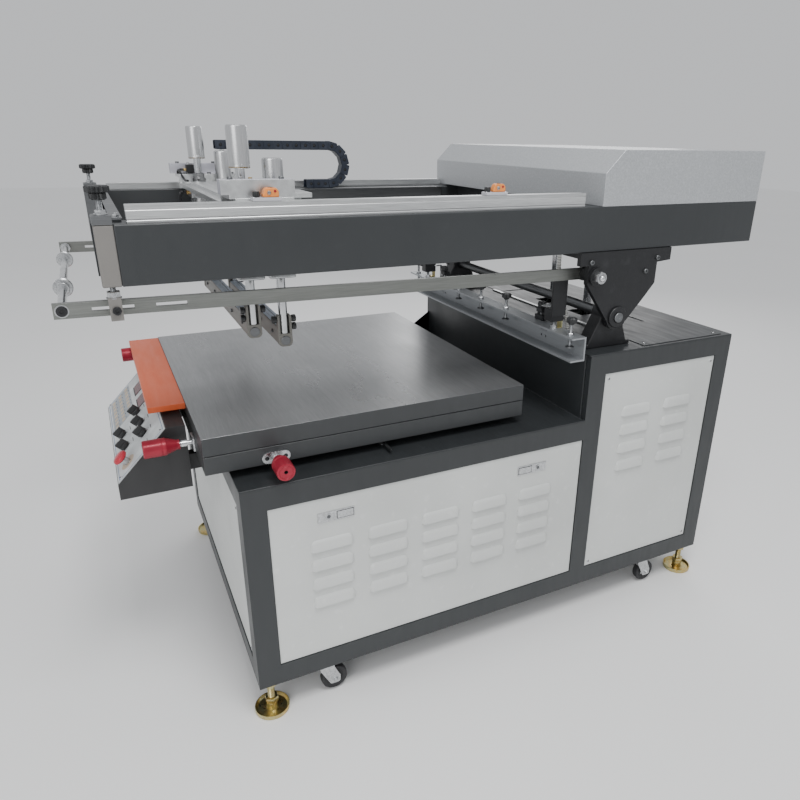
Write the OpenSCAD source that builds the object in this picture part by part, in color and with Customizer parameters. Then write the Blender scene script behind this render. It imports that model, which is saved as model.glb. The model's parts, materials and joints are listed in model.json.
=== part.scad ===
// Flatbed screen printing press with a tilting arm head.
// The operator stands at -Y, the head pivots near +Y, and +Z is up. Millimetres.

/* [Base cabinet] */
// Width of the cabinet
base_w = 1066; // [960:1:1120]
// Length of the cabinet, front to back
base_len = 1575; // [1500:1:1700]
// Height of the cabinet's underside above the floor
base_z = 105; // [95:1:130]
// Height of the low deck, which is under the table
low_top = 700; // [660:1:705]
// Height of the rear deck, which carries the head
tall_top = 901; // [880:1:920]
// Where the tall rear section starts, from the front of the cabinet
step_y = 1007; // [1000:1:1015]
// Width of the frame's square members
tube = 60; // [40:1:70]
// Thickness of the frame's members
tube_t = 20; // [15:1:25]
// Thickness of the sheet panels
panel_t = 2; // [1:0.5:4]
// Thickness of the deck plates
deck_t = 4; // [3:0.5:6]
// Length of a louvre
louvre_len = 116; // [60:1:120]
// How far a louvre stands out of its panel
louvre_out = 9; // [5:0.5:12]
// Diameter of a levelling foot's disc
foot_d = 94; // [60:1:100]
// Diameter of a caster wheel
wheel_d = 75; // [50:1:78]

/* [Table] */
// Width of the printing table
table_w = 932; // [820:1:960]
// Length of the printing table
table_len = 887; // [800:1:900]
// Height of the printing surface
table_z = 818; // [812:1:830]
// Thickness of each of the table's two slabs
slab_h = 46; // [40:1:46]
// How far the table stands out in front of the cabinet
table_out = 61; // [40:1:65]
// Depth of the orange guard ledge
ledge_d = 92; // [60:1:95]
// Length of the orange guard ledge
ledge_len = 668; // [400:1:700]
// Diameter of the adjusting knobs
knob_d = 45; // [35:1:46]

/* [Head] */
// Width over both arms
head_w = 992; // [960:1:1000]
// Width of one arm
arm_w = 80; // [70:1:84]
// Height of an arm
arm_h = 120; // [100:1:125]
// Wall of an arm's tube
arm_wall = 5; // [4:0.5:8]
// Height of the arms' underside
arm_z = 1187; // [1180:1:1195]
// How far the arms stand out in front of the cabinet
arm_out = 173; // [150:1:180]
// How far the arms stand out behind the cabinet
arm_back = 49; // [30:1:80]
// Size of the square front posts
post = 36; // [30:1:38]
// Height of the extrusion on the right arm
rail_h = 35; // [30:1:35]
// Height of the rear cover above the arms
cover_h = 144; // [120:1:160]
// Size of the chamfer along the cover's front edge
cover_chamfer = 59; // [40:1:70]
// Height of the head's pivot
pivot_z = 996; // [990:1:1002]
// Distance of the head's pivot behind the step
pivot_back = 105; // [100:1:112]
// Diameter of the pivot shaft
shaft_d = 30; // [25:1:34]

/* [Screen holder] */
// Distance between the outer faces of the holder bars
bars_w = 897; // [880:1:900]
// Height of a holder bar
bar_h = 32; // [28:1:34]
// Thickness of a holder bar
bar_t = 10; // [8:1:12]
// How far the bars stand out in front of the cabinet
bar_out = 305; // [290:1:320]
// Length of the frame channel
channel_len = 1071; // [1000:1:1080]
// Depth of the frame channel
channel_d = 49; // [45:1:52]
// Height of the frame channel
channel_h = 70; // [66:1:74]
// Wall of the frame channel
channel_t = 5; // [4:0.5:6]

/* [Carriage] */
// Distance between the two cylinders of a pair
cyl_span = 630; // [560:1:640]
// Distance between the squeegee and the flood bar
blade_gap = 75; // [72:1:80]
// Stroke of the squeegee
stroke = 69; // [50:1:70]
// Diameter of a cylinder rod
rod_d = 22; // [18:1:24]
// Diameter of a cap
cap_d = 48; // [40:1:50]
// Height of a cap
cap_h = 92; // [70:1:95]

/* [Hidden] */
$fn = 48;
bite = 1;          // how deep joined solids of one piece reach into each other
// fits
run = 0.05;        // radial clearance of a running fit
gap = 0.4;         // gap between bodies that slide past each other
recess = 3;        // how far a panel sits behind its frame
// the origin is under the middle of the machine, so the front face is at:
front_y = -660;

// cabinet
half_w = base_w / 2;
inner = half_w - tube_t;
low_h = low_top - deck_t - base_z;
tall_h = tall_top - deck_t - base_z;
floor_t = 10;
floor_plate_t = 8;
louvre_rows = 4;
louvre_r = 16;
// louvres of a bay: first column, column pitch, columns, first row, row pitch
low_louvres = [218, 157, 5, base_z + 226, 57];
tall_louvres = [step_y + 200, 170, 2, base_z + 413, 62];
latch_y = [232, 828];
latch_z = base_z + 475;
latch_len = 98;
latch_h = 28;

// feet and casters
foot_in = 33;
foot_corner_y = 34;
foot_x = half_w - foot_in;
foot_front_y = foot_corner_y;
foot_rear_y = base_len - foot_corner_y;
stem_d = 20;
stem_reach = 45;   // how far a stem stands up inside the cabinet
caster_in = 13;
caster_x = inner - caster_in;
caster_y = [190, base_len - 227];
caster_trail = 22;
swivel_d = 50;
fork_w = 40;
axle_d = 8;
wheel_w = 24;
wheel_gap = 4;     // the wheels hang this far above the floor, on the raised feet
axle_z = wheel_gap + wheel_d / 2;

// control box, as a section in Y and Z, and its fittings
box_half = 285;
box_wall = 3;
box_back = -75;
box_front = -249;
box_ridge = -120;
box_low = low_top - 88;
box_lip = box_low + 41;
box_top = box_low + 174;
box_profile = [[box_back, box_low], [box_front, box_low], [box_front, box_lip],
    [box_ridge, box_top], [box_back, box_top]];
fascia_len = norm([box_ridge - box_front, box_top - box_lip]);
fascia_angle = atan2(box_top - box_lip, box_ridge - box_front);
fascia_t = 2;
keys_across = 8;
key_pitch = 28;
// places along the box and up the slope
selector_at = [[13, 112], [105, 116], [180, 116], [51, 48], [137, 50]];
estop_at = [228, 46];
button_hole_d = 22;

// table
table_y = -table_out;
slab_gap = 2;
slab_rim = 12;
core_top = table_z - slab_h - slab_gap;
core_z = core_top - slab_h;
slide_x = 300;     // the slide rails' distance from the middle
slide_rail_h = 9;
table_travel = 10;
ledge_t = 2;
ledge_z = table_z - 3;
ledge_lip = 16;
spindle_d = 12;
flange_t = 6;
knob_reach = 121;  // from the table's front to a front knob's end
knob_len = 87;
x_knob_at = [107, core_z + 18];           // place in Y and Z on the right side
x_knob_end = table_w / 2 + 96;
y_knob_right_at = [318, core_top - 18];   // place in X and Z on the front
y_knob_left_at = [26 - table_w / 2, table_z - 43];
clamp_lever_at = [430, 400];              // place in X and Y on the low deck

// arms and head
pivot_y = step_y + pivot_back;
arm_in = head_w / 2 - arm_w;
arm_top = arm_z + arm_h;
arm_rear = base_len + arm_back;
post_y = -arm_out - post;
beam_t = 6;
beam_out = 3;      // how far the front panel stands proud of the posts
beam_rise = 18;    // how far its lower edge is above the arms' undersides
rail_front = -147;
rail_rear = 975;
rail_x = 451;
rail_w = 30;
low_rail_h = 18;
sensor_y = [140, 708];
bracket_in = 484;
bracket_out = 500;
pedestal_out = 478;
pedestal_in = 430;
screw_x = (head_w - post) / 2;
screw_y = post_y + post / 2;
screw_d = 12;
star_d = 46;
post_cap_h = 19;

// lift cylinders
lift_x = 100;
lift_y = pivot_y + 218;
lift_top_z = pivot_z + 179;
lift_base_z = base_z + 225;
lift_bore_d = 60;
lift_rod_d = 28;
lift_pin_d = 16;
lift_room = 3;     // room round the rod at the opened joint
lift_tube_len = 430;
ear_t = 8;

// holder bars, which lean up a little towards the front
bar_pivot_y = pivot_y - 92;
bar_pivot_z = pivot_z + 124;
bar_tilt = 0.8;
bar_z = bar_pivot_z - bar_h / 2;
bar_x = bars_w / 2 - bar_t;
bar_pin_d = 20;
rod_y = -bar_out + 16;
hanger_low = bar_z + 15;
screw_low = hanger_low + 8;
channel_y = step_y - 28 - channel_d;
channel_z = bar_pivot_z - 230;
channel_top = channel_z + channel_h;
hanger_x = 426;
clamp_x = [-500, -160, 0, 160, 500];
clamp_y = channel_y + 20;
clamp_screw_d = 10;
clamp_travel = 24;

// carriage
cyl_x = cyl_span / 2;
squeegee_y = 111;
flood_y = squeegee_y + blade_gap;
plate_z = arm_top + 11;
plate_t = 12;
plate_y = 58;
plate_len = 180;
arch_z = arm_top + 38;
arch_t = 10;
arch_w = 16;
end_in = 410;
end_out = 446;
body_z = arm_z - 37;
body_d = 58;
cap_rest = plate_z + plate_t + 2;
squeegee_z = arm_z - 183;
flood_z = arm_z - 214;

// drag chain, as a loop in Y and Z
chain_x0 = -408;
chain_w = 40;
chain_t = 28;
chain_r = 75;
chain_bottom = arm_top - 2;
chain_top = chain_bottom + 2 * chain_r;
chain_bend_y = 545;
chain_fixed_y = 470;
chain_moving_y = 180;

// white wrapped loom from the head down to the rear deck
loom_d = 12;
loom_sides = 8;
loom_path = [[421, 950, 1183], [421, 950, 1160], [421, 951, 1130], [419, 956, 1100],
    [415, 966, 1072], [409, 980, 1045], [402, 996, 1018], [394, 1011, 990],
    [388, 1023, 960], [385, 1030, 935], [385, 1032, 915], [385, 1032, 902]];

// ---------- helpers ----------

// moves a part drawn from the front of the cabinet to its place about the origin
module bench() {
    translate([0, front_y, 0]) children();
}

module mirrored() {
    children();
    mirror([1, 0, 0]) children();
}

// a box between two corners
module block(a, b) {
    translate(a) cube(b - a);
}

// a bar along X with a profile drawn in Y and Z
module along_x(x0, x1) {
    translate([x0, 0, 0]) rotate([90, 0, 90]) linear_extrude(x1 - x0) children();
}

// a cylinder along X, centred on y and z
module x_cyl(d, x0, x1, y, z) {
    translate([x0, y, z]) rotate([0, 90, 0]) cylinder(d = d, h = x1 - x0);
}

// a cylinder along Y, centred on x and z
module y_cyl(d, y0, y1, x, z) {
    translate([x, y1, z]) rotate([90, 0, 0]) cylinder(d = d, h = y1 - y0);
}

// a cylinder along Z, centred on x and y
module z_cyl(d, z0, z1, x, y) {
    translate([x, y, z0]) cylinder(d = d, h = z1 - z0);
}

// a frame of flat members round a window, drawn flat with its outer face at z = 0
module bay(w, h) {
    lip_w = 12;
    lip_t = 3;
    translate([0, 0, -tube_t]) linear_extrude(tube_t) difference() {
        square([w, h]);
        translate([tube, tube]) square([w - 2 * tube, h - 2 * tube]);
    }
    translate([0, 0, -recess - panel_t - lip_t]) linear_extrude(lip_t) difference() {
        square([w, h]);
        translate([tube + lip_w, tube + lip_w])
            square([w - 2 * (tube + lip_w), h - 2 * (tube + lip_w)]);
    }
}

// a panel that fills a bay's window
module infill(w, h) {
    edge = 1.5;
    translate([tube + edge, tube + edge, -recess - panel_t])
        cube([w - 2 * (tube + edge), h - 2 * (tube + edge), panel_t]);
}

// stands a flat drawing on the cabinet's right side, with its corner at y and z
module on_right(y, z) {
    translate([half_w, y, z]) rotate([90, 0, 90]) children();
}

// stands a flat drawing on the cabinet's front
module on_front(z) {
    translate([-half_w, 0, z]) rotate([90, 0, 0]) children();
}

// stands a flat drawing on the cabinet's back
module on_back(z) {
    translate([half_w, base_len, z]) rotate([90, 0, 180]) children();
}

module louvres(spec) {
    x = half_w - recess;
    for (col = [0 : spec[2] - 1], row = [0 : louvre_rows - 1]) {
        translate([x, spec[0] + col * spec[1], spec[3] + row * spec[4]])
            louvre();
    }
}

// a bulged strip with rounded ends, part of a lying cylinder
module louvre() {
    intersection() {
        y_cyl(2 * louvre_r, -louvre_len / 2, louvre_len / 2, louvre_out - louvre_r, 0);
        block([-panel_t / 2, -louvre_len / 2, -louvre_r], [louvre_out, louvre_len / 2, louvre_r]);
    }
}

// ---------- base cabinet ----------

module base_frame() color("#3f4244") bench() difference() {
    union() {
        mirrored() {
            on_right(0, base_z) bay(step_y + tube, low_h);
            on_right(step_y, base_z) bay(base_len - step_y, tall_h);
        }
        on_front(base_z) bay(base_w, low_h);
        on_back(base_z) bay(base_w, tall_h);
        floor_members();
        lift_stands();
    }
    // threaded holes that the feet screw into
    mirrored() for (y = [foot_front_y, foot_rear_y])
        z_cyl(stem_d + 2 * run, base_z - 1, base_z + floor_t + 2, foot_x, y);
}

// members that carry the feet, the casters and the lift cylinders
module floor_members() {
    reach = inner + bite;
    for (y = [tube_t, caster_y[0] - tube / 2, step_y, caster_y[1] - tube / 2, base_len - tube_t - tube])
        block([-reach, y, base_z], [reach, y + tube, base_z + floor_t]);
    mirrored() block([inner - 2 * tube, tube_t - bite, base_z],
        [reach, base_len - tube_t + bite, base_z + floor_plate_t]);
}

// plate, ears and pins that the lift cylinders stand on
module lift_stands() {
    plate_top = base_z + 12;
    block([-inner - bite, lift_y - 45, base_z], [inner + bite, lift_y + 45, plate_top]);
    mirrored() {
        for (dx = [-22, 14])
            block([lift_x + dx, lift_y - 30, plate_top - bite],
                [lift_x + dx + ear_t, lift_y + 30, lift_base_z + 25]);
        x_cyl(lift_pin_d, lift_x - 24, lift_x + 24, lift_y, lift_base_z);
    }
}

module deck_plates() color("#4a4d4f") bench() {
    block([-half_w, 0, low_top - deck_t], [half_w, step_y, low_top]);
    block([-inner, step_y - deck_t, low_top - bite], [inner, step_y, tall_top - deck_t + bite]);
    difference() {
        block([-half_w, step_y - deck_t, tall_top - deck_t], [half_w, base_len, tall_top]);
        // slots that the lift cylinders lean in
        mirrored() block([lift_x - 40, lift_y - 52, tall_top - deck_t - 1],
            [lift_x + 40, lift_y + 72, tall_top + 1]);
    }
}

module side_panels() color("#c9cbc8") bench() mirrored() {
    on_right(0, base_z) infill(step_y + tube, low_h);
    on_right(step_y, base_z) infill(base_len - step_y, tall_h);
    louvres(low_louvres);
    louvres(tall_louvres);
}

module end_panels() color("#c9cbc8") bench() {
    on_front(base_z) infill(base_w, low_h);
    on_back(base_z) infill(base_w, tall_h);
}

module door_latches() color("#8d8f8c") bench() mirrored() {
    x = half_w - recess;
    t = 2;
    for (y = latch_y) {
        block([x, y - latch_len / 2, latch_z - latch_h / 2], [x + t, y + latch_len / 2, latch_z + latch_h / 2]);
        block([x + t, y - 12, latch_z - 10], [x + 2 * t, y + latch_len / 2 - 7, latch_z + 10]);
        x_cyl(12, x + t, x + 2 * t, y - 30, latch_z);
    }
}

// a levelling foot: disc, hexagon nut and threaded stem
module foot(x, y) {
    disc_t = 8;
    cone_h = 12;
    z_cyl(foot_d, 0, disc_t, x, y);
    translate([x, y, disc_t]) cylinder(d1 = foot_d - 10, d2 = 40, h = cone_h);
    z_cyl(38, disc_t + cone_h, 34, x, y);
    z_cyl(stem_d, 34 - bite, base_z + stem_reach, x, y);
    translate([x, y, base_z - 24]) cylinder(d = 34, h = 16, $fn = 6);
}

module foot_front_right() color("#b9a35a") bench() foot(foot_x, foot_front_y);
module foot_front_left() color("#b9a35a") bench() foot(-foot_x, foot_front_y);
module foot_rear_right() color("#b9a35a") bench() foot(foot_x, foot_rear_y);
module foot_rear_left() color("#b9a35a") bench() foot(-foot_x, foot_rear_y);

// a caster's swivel fork, its wheel trailing towards the back
module caster_fork(x, y) {
    top = base_z - gap;
    leg_t = 3;
    axle_y = y + caster_trail;
    z_cyl(swivel_d, top - 9, top, x, y);
    block([x - fork_w / 2, y - 22, top - 13], [x + fork_w / 2, y + 24, top - 9 + bite]);
    for (s = [-1, 1], out = x + s * (fork_w - leg_t) / 2)
        along_x(out - leg_t / 2, out + leg_t / 2)
            polygon([[y - 18, top - 11], [y + 24, top - 11], [axle_y + 12, axle_z - 8],
                [axle_y + 6, axle_z - 12], [axle_y - 10, axle_z - 10]]);
    x_cyl(axle_d, x - fork_w / 2 - 1, x + fork_w / 2 + 1, axle_y, axle_z);
    for (s = [-1, 1], out = x + s * (fork_w / 2 + 2))
        x_cyl(14, out - 2, out + 2, axle_y, axle_z);
}

// a caster wheel: tyre with a bored hub
module caster_wheel(x, y) {
    translate([x, y + caster_trail, axle_z]) rotate([0, 90, 0]) difference() {
        union() {
            rotate_extrude($fn = 64) polygon([[12, -9], [wheel_d / 2 - 8, -9],
                [wheel_d / 2 - 4, -wheel_w / 2], [wheel_d / 2, -wheel_w / 2 + 4],
                [wheel_d / 2, wheel_w / 2 - 4], [wheel_d / 2 - 4, wheel_w / 2],
                [wheel_d / 2 - 8, 9], [12, 9]]);
            cylinder(d = 26, h = wheel_w + 6, center = true);
        }
        cylinder(d = axle_d + 2 * run, h = wheel_w + 12, center = true);
    }
}

module caster_fork_front_right() color("#b8bab6") bench() caster_fork(caster_x, caster_y[0]);
module caster_fork_front_left() color("#b8bab6") bench() caster_fork(-caster_x, caster_y[0]);
module caster_forks_rear() color("#b8bab6") bench() mirrored() {
    caster_fork(caster_x, caster_y[1]);
    z_cyl(swivel_d, base_z - gap - bite, base_z, caster_x, caster_y[1]);
}
module wheel_front_right() color("#1d1e20") bench() caster_wheel(caster_x, caster_y[0]);
module wheel_front_left() color("#1d1e20") bench() caster_wheel(-caster_x, caster_y[0]);
module wheel_rear_right() color("#1d1e20") bench() caster_wheel(caster_x, caster_y[1]);
module wheel_rear_left() color("#1d1e20") bench() caster_wheel(-caster_x, caster_y[1]);

// ---------- control box ----------

// places a child on the sloping fascia: x along the box, up the slope, out of it
module on_fascia(x, up, out) {
    translate([x, box_profile[2][0], box_profile[2][1]]) rotate([fascia_angle, 0, 0])
        translate([0, up, out]) children();
}

module button_holes() {
    for (at = concat(selector_at, [estop_at]))
        on_fascia(at[0], at[1], -2 * box_wall) cylinder(d = button_hole_d, h = 4 * box_wall);
}

module control_box() color("#2f3132") bench() {
    difference() {
        along_x(-box_half, box_half) polygon(box_profile);
        along_x(-box_half + box_wall, box_half - box_wall) offset(delta = -box_wall) polygon(box_profile);
        button_holes();
    }
    // arms that hang the box on the cabinet
    mirrored() block([180, box_back - bite, box_low + 13], [210, 0, box_low + 58]);
}

module control_fascia() color("#c6cacb") bench() {
    edge = 4;
    difference() {
        on_fascia(-box_half + edge, edge, 0) cube([2 * (box_half - edge), fascia_len - 2 * edge, fascia_t]);
        button_holes();
    }
    // display windows
    for (x = [-190, -80]) on_fascia(x, 120, fascia_t) cube([70, 28, 1]);
    // rows of keys
    for (i = [0 : keys_across - 1], row = [0 : 2])
        on_fascia(-255 + i * key_pitch, 24 + row * key_pitch, fascia_t) cube([16, 12, 1.5]);
}

module estop_button() color("#a03040") bench() on_fascia(estop_at[0], estop_at[1], 0) {
    stem_top = 26;
    translate([0, 0, -18]) cylinder(d = button_hole_d - 2 * gap, h = stem_top + 18);
    translate([0, 0, stem_top]) cylinder(d = 32, h = 4);
    translate([0, 0, stem_top + 4]) cylinder(d = 40, h = 9);
    translate([0, 0, stem_top + 13]) cylinder(d1 = 40, d2 = 28, h = 5);
}

module selector(i) {
    skirt_h = 7;
    on_fascia(selector_at[i][0], selector_at[i][1], 0) {
        translate([0, 0, -12]) cylinder(d = button_hole_d - 2 * gap, h = 20);
        translate([0, 0, fascia_t + gap]) cylinder(d = 29, h = skirt_h);
        translate([-6, -14, fascia_t + skirt_h]) cube([12, 28, 18]);
    }
}
module selector_1() color("#1c1d1f") bench() selector(0);
module selector_2() color("#1c1d1f") bench() selector(1);
module selector_3() color("#1c1d1f") bench() selector(2);
module selector_4() color("#1c1d1f") bench() selector(3);
module selector_5() color("#1c1d1f") bench() selector(4);

// ---------- table ----------

// linear rails on the low deck, which the carriage's blocks straddle
module table_slide_base() color("#2b2d2f") bench() mirrored() {
    foot_h = 6;
    block([slide_x - 10, 60, low_top], [slide_x + 10, 720, low_top + foot_h]);
    block([slide_x - 7, 60, low_top + foot_h], [slide_x + 7, 720, low_top + slide_rail_h]);
}

module table_carriage() color("#2b2d2f") bench() {
    top = core_z - gap;
    plate_t = 4;
    mirrored() for (y = [130, 560])
        block([slide_x - 22, y, low_top + slide_rail_h + gap], [slide_x + 22, y + 70, top - plate_t + bite]);
    block([-slide_x - 60, 110, top - plate_t], [slide_x + 60, 660, top]);
}

// an upside-down tray: a skin, a rim and ribs under it
module slab(z, skin) {
    cells = 3;
    cell_w = (table_w - (cells + 1) * slab_rim) / cells;
    cell_l = (table_len - (cells + 1) * slab_rim) / cells;
    difference() {
        block([-table_w / 2, table_y, z], [table_w / 2, table_y + table_len, z + slab_h]);
        for (i = [0 : cells - 1], j = [0 : cells - 1])
            translate([-table_w / 2 + slab_rim + i * (cell_w + slab_rim),
                table_y + slab_rim + j * (cell_l + slab_rim), z - 1])
                cube([cell_w, cell_l, slab_h - skin + 1]);
    }
}

module table_core() color("#46494b") bench() slab(core_z, 4);

module table_top() color("#8d9093") bench() {
    inset = 3;
    slab(table_z - slab_h, 6);
    // spacer frame in the joint between the slabs
    difference() {
        block([-table_w / 2 + inset, table_y + inset, core_top],
            [table_w / 2 - inset, table_y + table_len - inset, core_top + slab_gap + bite]);
        block([-table_w / 2 + slab_rim, table_y + slab_rim, core_top - 1],
            [table_w / 2 - slab_rim, table_y + table_len - slab_rim, core_top + slab_gap + 2 * bite]);
    }
}

// folded sheet with a lip on three sides and a flange screwed to the table
module guard_ledge() color("#d9673c") bench() {
    x0 = -table_w / 2;
    x1 = x0 + ledge_len;
    z = ledge_z - ledge_t;
    y0 = table_y - ledge_d;
    low = ledge_z - ledge_lip;
    block([x0, y0, z], [x1, table_y, ledge_z]);
    block([x0, y0, low], [x1, y0 + ledge_t, z + bite]);
    for (x = [x0, x1 - ledge_t])
        block([x, y0, low], [x + ledge_t, table_y, z + bite]);
    block([x0 + 70, table_y - ledge_t, z - 28], [x1 - 30, table_y, z + bite]);
}

// a turned knob: grip with a neck and a spindle, along Z from its end
module turned_knob(spindle) {
    grip = knob_len * 0.6;
    neck = knob_len * 0.9;
    neck_d = knob_d * 0.55;
    cylinder(d = knob_d, h = grip);
    translate([0, 0, grip]) cylinder(d1 = knob_d, d2 = neck_d, h = neck - grip);
    translate([0, 0, neck]) cylinder(d = neck_d, h = knob_len - neck);
    cylinder(d = spindle_d, h = spindle);
}

module x_knob() color("#8f2a38") bench() {
    x = table_w / 2;
    y = x_knob_at[0];
    z = x_knob_at[1];
    collar = x + flange_t + 2;
    x_cyl(spindle_d, x + gap, x_knob_end - 20, y, z);
    x_cyl(20, collar, collar + 20 + bite, y, z);
    difference() {
        x_cyl(knob_d, collar + 20, x_knob_end, y, z);
        x_cyl(14, x_knob_end - 10, x_knob_end + 1, y, z);
    }
}

module front_knob(at) {
    translate([at[0], table_y - knob_reach, at[1]]) rotate([-90, 0, 0])
        turned_knob(knob_reach - gap);
}
module y_knob_right() color("#8f2a38") bench() front_knob(y_knob_right_at);
module y_knob_left() color("#8f2a38") bench() front_knob(y_knob_left_at);

module knob_brackets() color("#b9bbb9") bench() {
    hole = spindle_d + 2 * run;
    x = table_w / 2;
    y = x_knob_at[0];
    z = x_knob_at[1];
    // oval flange of the side knob, with sunk holes for its two screws
    difference() {
        hull() for (s = [-1, 1])
            x_cyl(30, x, x + flange_t, y + s * 20, z, $fn = 32);
        x_cyl(hole, x - 1, x + flange_t + 1, y, z);
        for (s = [-1, 1]) x_cyl(9, x + 2, x + flange_t + 1, y + s * 23, z);
    }
    // plates of the front knobs
    for (at = [y_knob_right_at, y_knob_left_at]) difference() {
        block([at[0] - 22, table_y - flange_t, at[1] - 18], [at[0] + 22, table_y, at[1] + 18]);
        y_cyl(hole, table_y - flange_t - 1, table_y + 1, at[0], at[1]);
    }
}

// clamping lever on a vertical screw under the table's edge
module table_clamp() color("#1f2022") bench() {
    x = clamp_lever_at[0];
    y = clamp_lever_at[1];
    lever_z = low_top + 6;
    z_cyl(12, low_top + gap, core_z - gap, x, y);
    z_cyl(22, low_top + 4, low_top + 16, x, y);
    block([x, y - 5, lever_z], [x + 70, y + 5, lever_z + 8]);
}

// ---------- head ----------

module arm() {
    difference() {
        block([arm_in, -arm_out, arm_z], [head_w / 2, arm_rear, arm_top]);
        block([arm_in + arm_wall, -arm_out - 1, arm_z + arm_wall],
            [head_w / 2 - arm_wall, arm_rear + 1, arm_top - arm_wall]);
    }
}
module arm_right() color("#3b3f41") bench() arm();
module arm_left() color("#3b3f41") bench() mirror([1, 0, 0]) arm();

module head_beams() color("#3b3f41") bench() {
    // front panel between the posts, with the strip that lies on its top edge
    front_in = head_w / 2 - post;
    panel_y = post_y - beam_out;
    block([-front_in, panel_y, arm_z + beam_rise], [front_in, panel_y + beam_t, arm_top]);
    block([-front_in, panel_y + beam_t - bite, arm_top - beam_t], [front_in, -arm_out, arm_top]);
    mirrored() block([arm_in + 8, -arm_out, arm_top], [rail_x - 2, -arm_out + 18, arm_top + 5]);
    // beams between the arms: over the pivot, over the lift rods and at the back
    block([-arm_in, pivot_y - 40, arm_top - 60], [arm_in, pivot_y + 20, arm_top]);
    block([-arm_in, arm_rear - 60, arm_z], [arm_in, arm_rear, arm_top]);
    block([-arm_in, lift_y - 25, arm_top - 60], [arm_in, lift_y + 25, arm_top]);
    // ears and pins that the lift rods hang from
    mirrored() {
        for (dx = [-26, 18])
            block([lift_x + dx, lift_y - 24, lift_top_z - 20],
                [lift_x + dx + ear_t, lift_y + 24, arm_top - 60 + bite]);
        x_cyl(lift_pin_d, lift_x - 27, lift_x + 27, lift_y, lift_top_z);
    }
}

// folded sheet cover, open underneath
module rear_cover() color("#b4b8ba") bench() {
    y0 = step_y + 17;
    c = cover_chamfer;
    t = 3;
    profile = [[y0, 0], [y0, cover_h - c], [y0 + c, cover_h], [arm_rear, cover_h], [arm_rear, 0]];
    translate([0, 0, arm_top]) difference() {
        along_x(-head_w / 2, head_w / 2) polygon(profile);
        translate([0, 0, -t]) along_x(-head_w / 2 + t, head_w / 2 - t) offset(delta = -t)
            polygon([for (p = profile) [p[0], p[1] > 0 ? p[1] + t : 0]]);
    }
}

module arm_rails() color("#c3c6c6") bench() {
    // slotted extrusion on the right arm
    difference() {
        block([rail_x, rail_front, arm_top], [rail_x + rail_w, rail_rear, arm_top + rail_h]);
        block([rail_x - 1, rail_front - 1, arm_top + 8], [rail_x + 4, rail_rear + 1, arm_top + 14]);
    }
    // low rail on the left arm
    block([-rail_x - rail_w, rail_front, arm_top], [-rail_x, step_y + 8, arm_top + low_rail_h]);
    // shelf under the drag chain
    block([-arm_in, 300, arm_top - 6], [-arm_in + 54, 1000, arm_top - 3]);
    block([-arm_in, 300, arm_top - 40], [-arm_in + 3, 1000, arm_top - 6 + bite]);
}

module limit_sensors() color("#d98a4a") bench() {
    z = arm_top + rail_h;
    x = rail_x + 3;
    for (y = sensor_y) {
        block([x, y - 40, z], [x + 26, y + 22, z + 8]);
        block([x + 4, y - 18, z + 8], [x + 22, y + 18, z + 28]);
        z_cyl(16, z + 8, z + 20, x + 13, y - 30);
    }
}

// side plate that carries an arm, in Y and Z about the head's pivot
function bracket_outline() = let (low = arm_z - pivot_z)
    [[-149, low], [180, low], [180, low - 36], [130, low - 40], [130, low - 100],
    [94, low - 142], [36, -14], [-36, -10], [-120, 104], [-120, low - 36], [-149, low - 36]];

module pivot_brackets() color("#232527") bench() mirrored() difference() {
    union() {
        translate([0, pivot_y, pivot_z]) along_x(bracket_in, bracket_out) union() {
            polygon(bracket_outline());
            circle(d = 74);
        }
        block([arm_in, pivot_y - 149, arm_z - 16], [bracket_in + bite, pivot_y + 180, arm_z]);
        // boss and pin that the holder bar swings on
        x_cyl(52, bracket_out - bite, bracket_out + 10, bar_pivot_y, bar_pivot_z);
        x_cyl(30, bracket_out + 9, bracket_out + 24, bar_pivot_y, bar_pivot_z);
        x_cyl(36, bars_w / 2 + gap, bracket_in + bite, bar_pivot_y, bar_pivot_z);
        x_cyl(bar_pin_d, bar_x - 8, bars_w / 2 + gap + bite, bar_pivot_y, bar_pivot_z);
    }
    x_cyl(shaft_d, bracket_in - 1, bracket_out + 1, pivot_y, pivot_z);
}

module pivot_shaft() color("#55585a") bench() {
    x_cyl(shaft_d, -bracket_out - 12, bracket_out + 12, pivot_y, pivot_z);
}

module pivot_pedestals() color("#26282b") bench() mirrored() {
    foot_t = 12;
    difference() {
        union() {
            block([pedestal_in - 30, step_y + 3, tall_top], [pedestal_out, step_y + 186, tall_top + foot_t]);
            along_x(pedestal_in, pedestal_out) union() {
                polygon([[step_y + 26, tall_top + foot_t - bite], [step_y + 172, tall_top + foot_t - bite],
                    [pivot_y + 36, pivot_z], [pivot_y - 36, pivot_z]]);
                translate([pivot_y, pivot_z]) circle(d = 76);
            }
        }
        x_cyl(shaft_d + 2 * run, pedestal_in - 1, pedestal_out + 1, pivot_y, pivot_z);
    }
}

module lift_tubes() color("#a9acad") bench() mirrored() {
    d = lift_bore_d + 12;
    foot = 30;         // clear of the stand's ears when the tube leans
    end_t = 20;
    top = lift_base_z + lift_tube_len;
    difference() {
        union() {
            z_cyl(d, lift_base_z + foot, top, lift_x, lift_y);
            block([lift_x - 12, lift_y - 20, lift_base_z - 20], [lift_x + 12, lift_y + 20, lift_base_z + foot + bite]);
        }
        z_cyl(lift_bore_d, lift_base_z + foot + 12, top - end_t, lift_x, lift_y);
        z_cyl(lift_rod_d + 2 * lift_room, top - end_t - 1, top + 1, lift_x, lift_y);
        x_cyl(lift_pin_d + 2 * run, lift_x - 13, lift_x + 13, lift_y, lift_base_z);
    }
}

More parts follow.
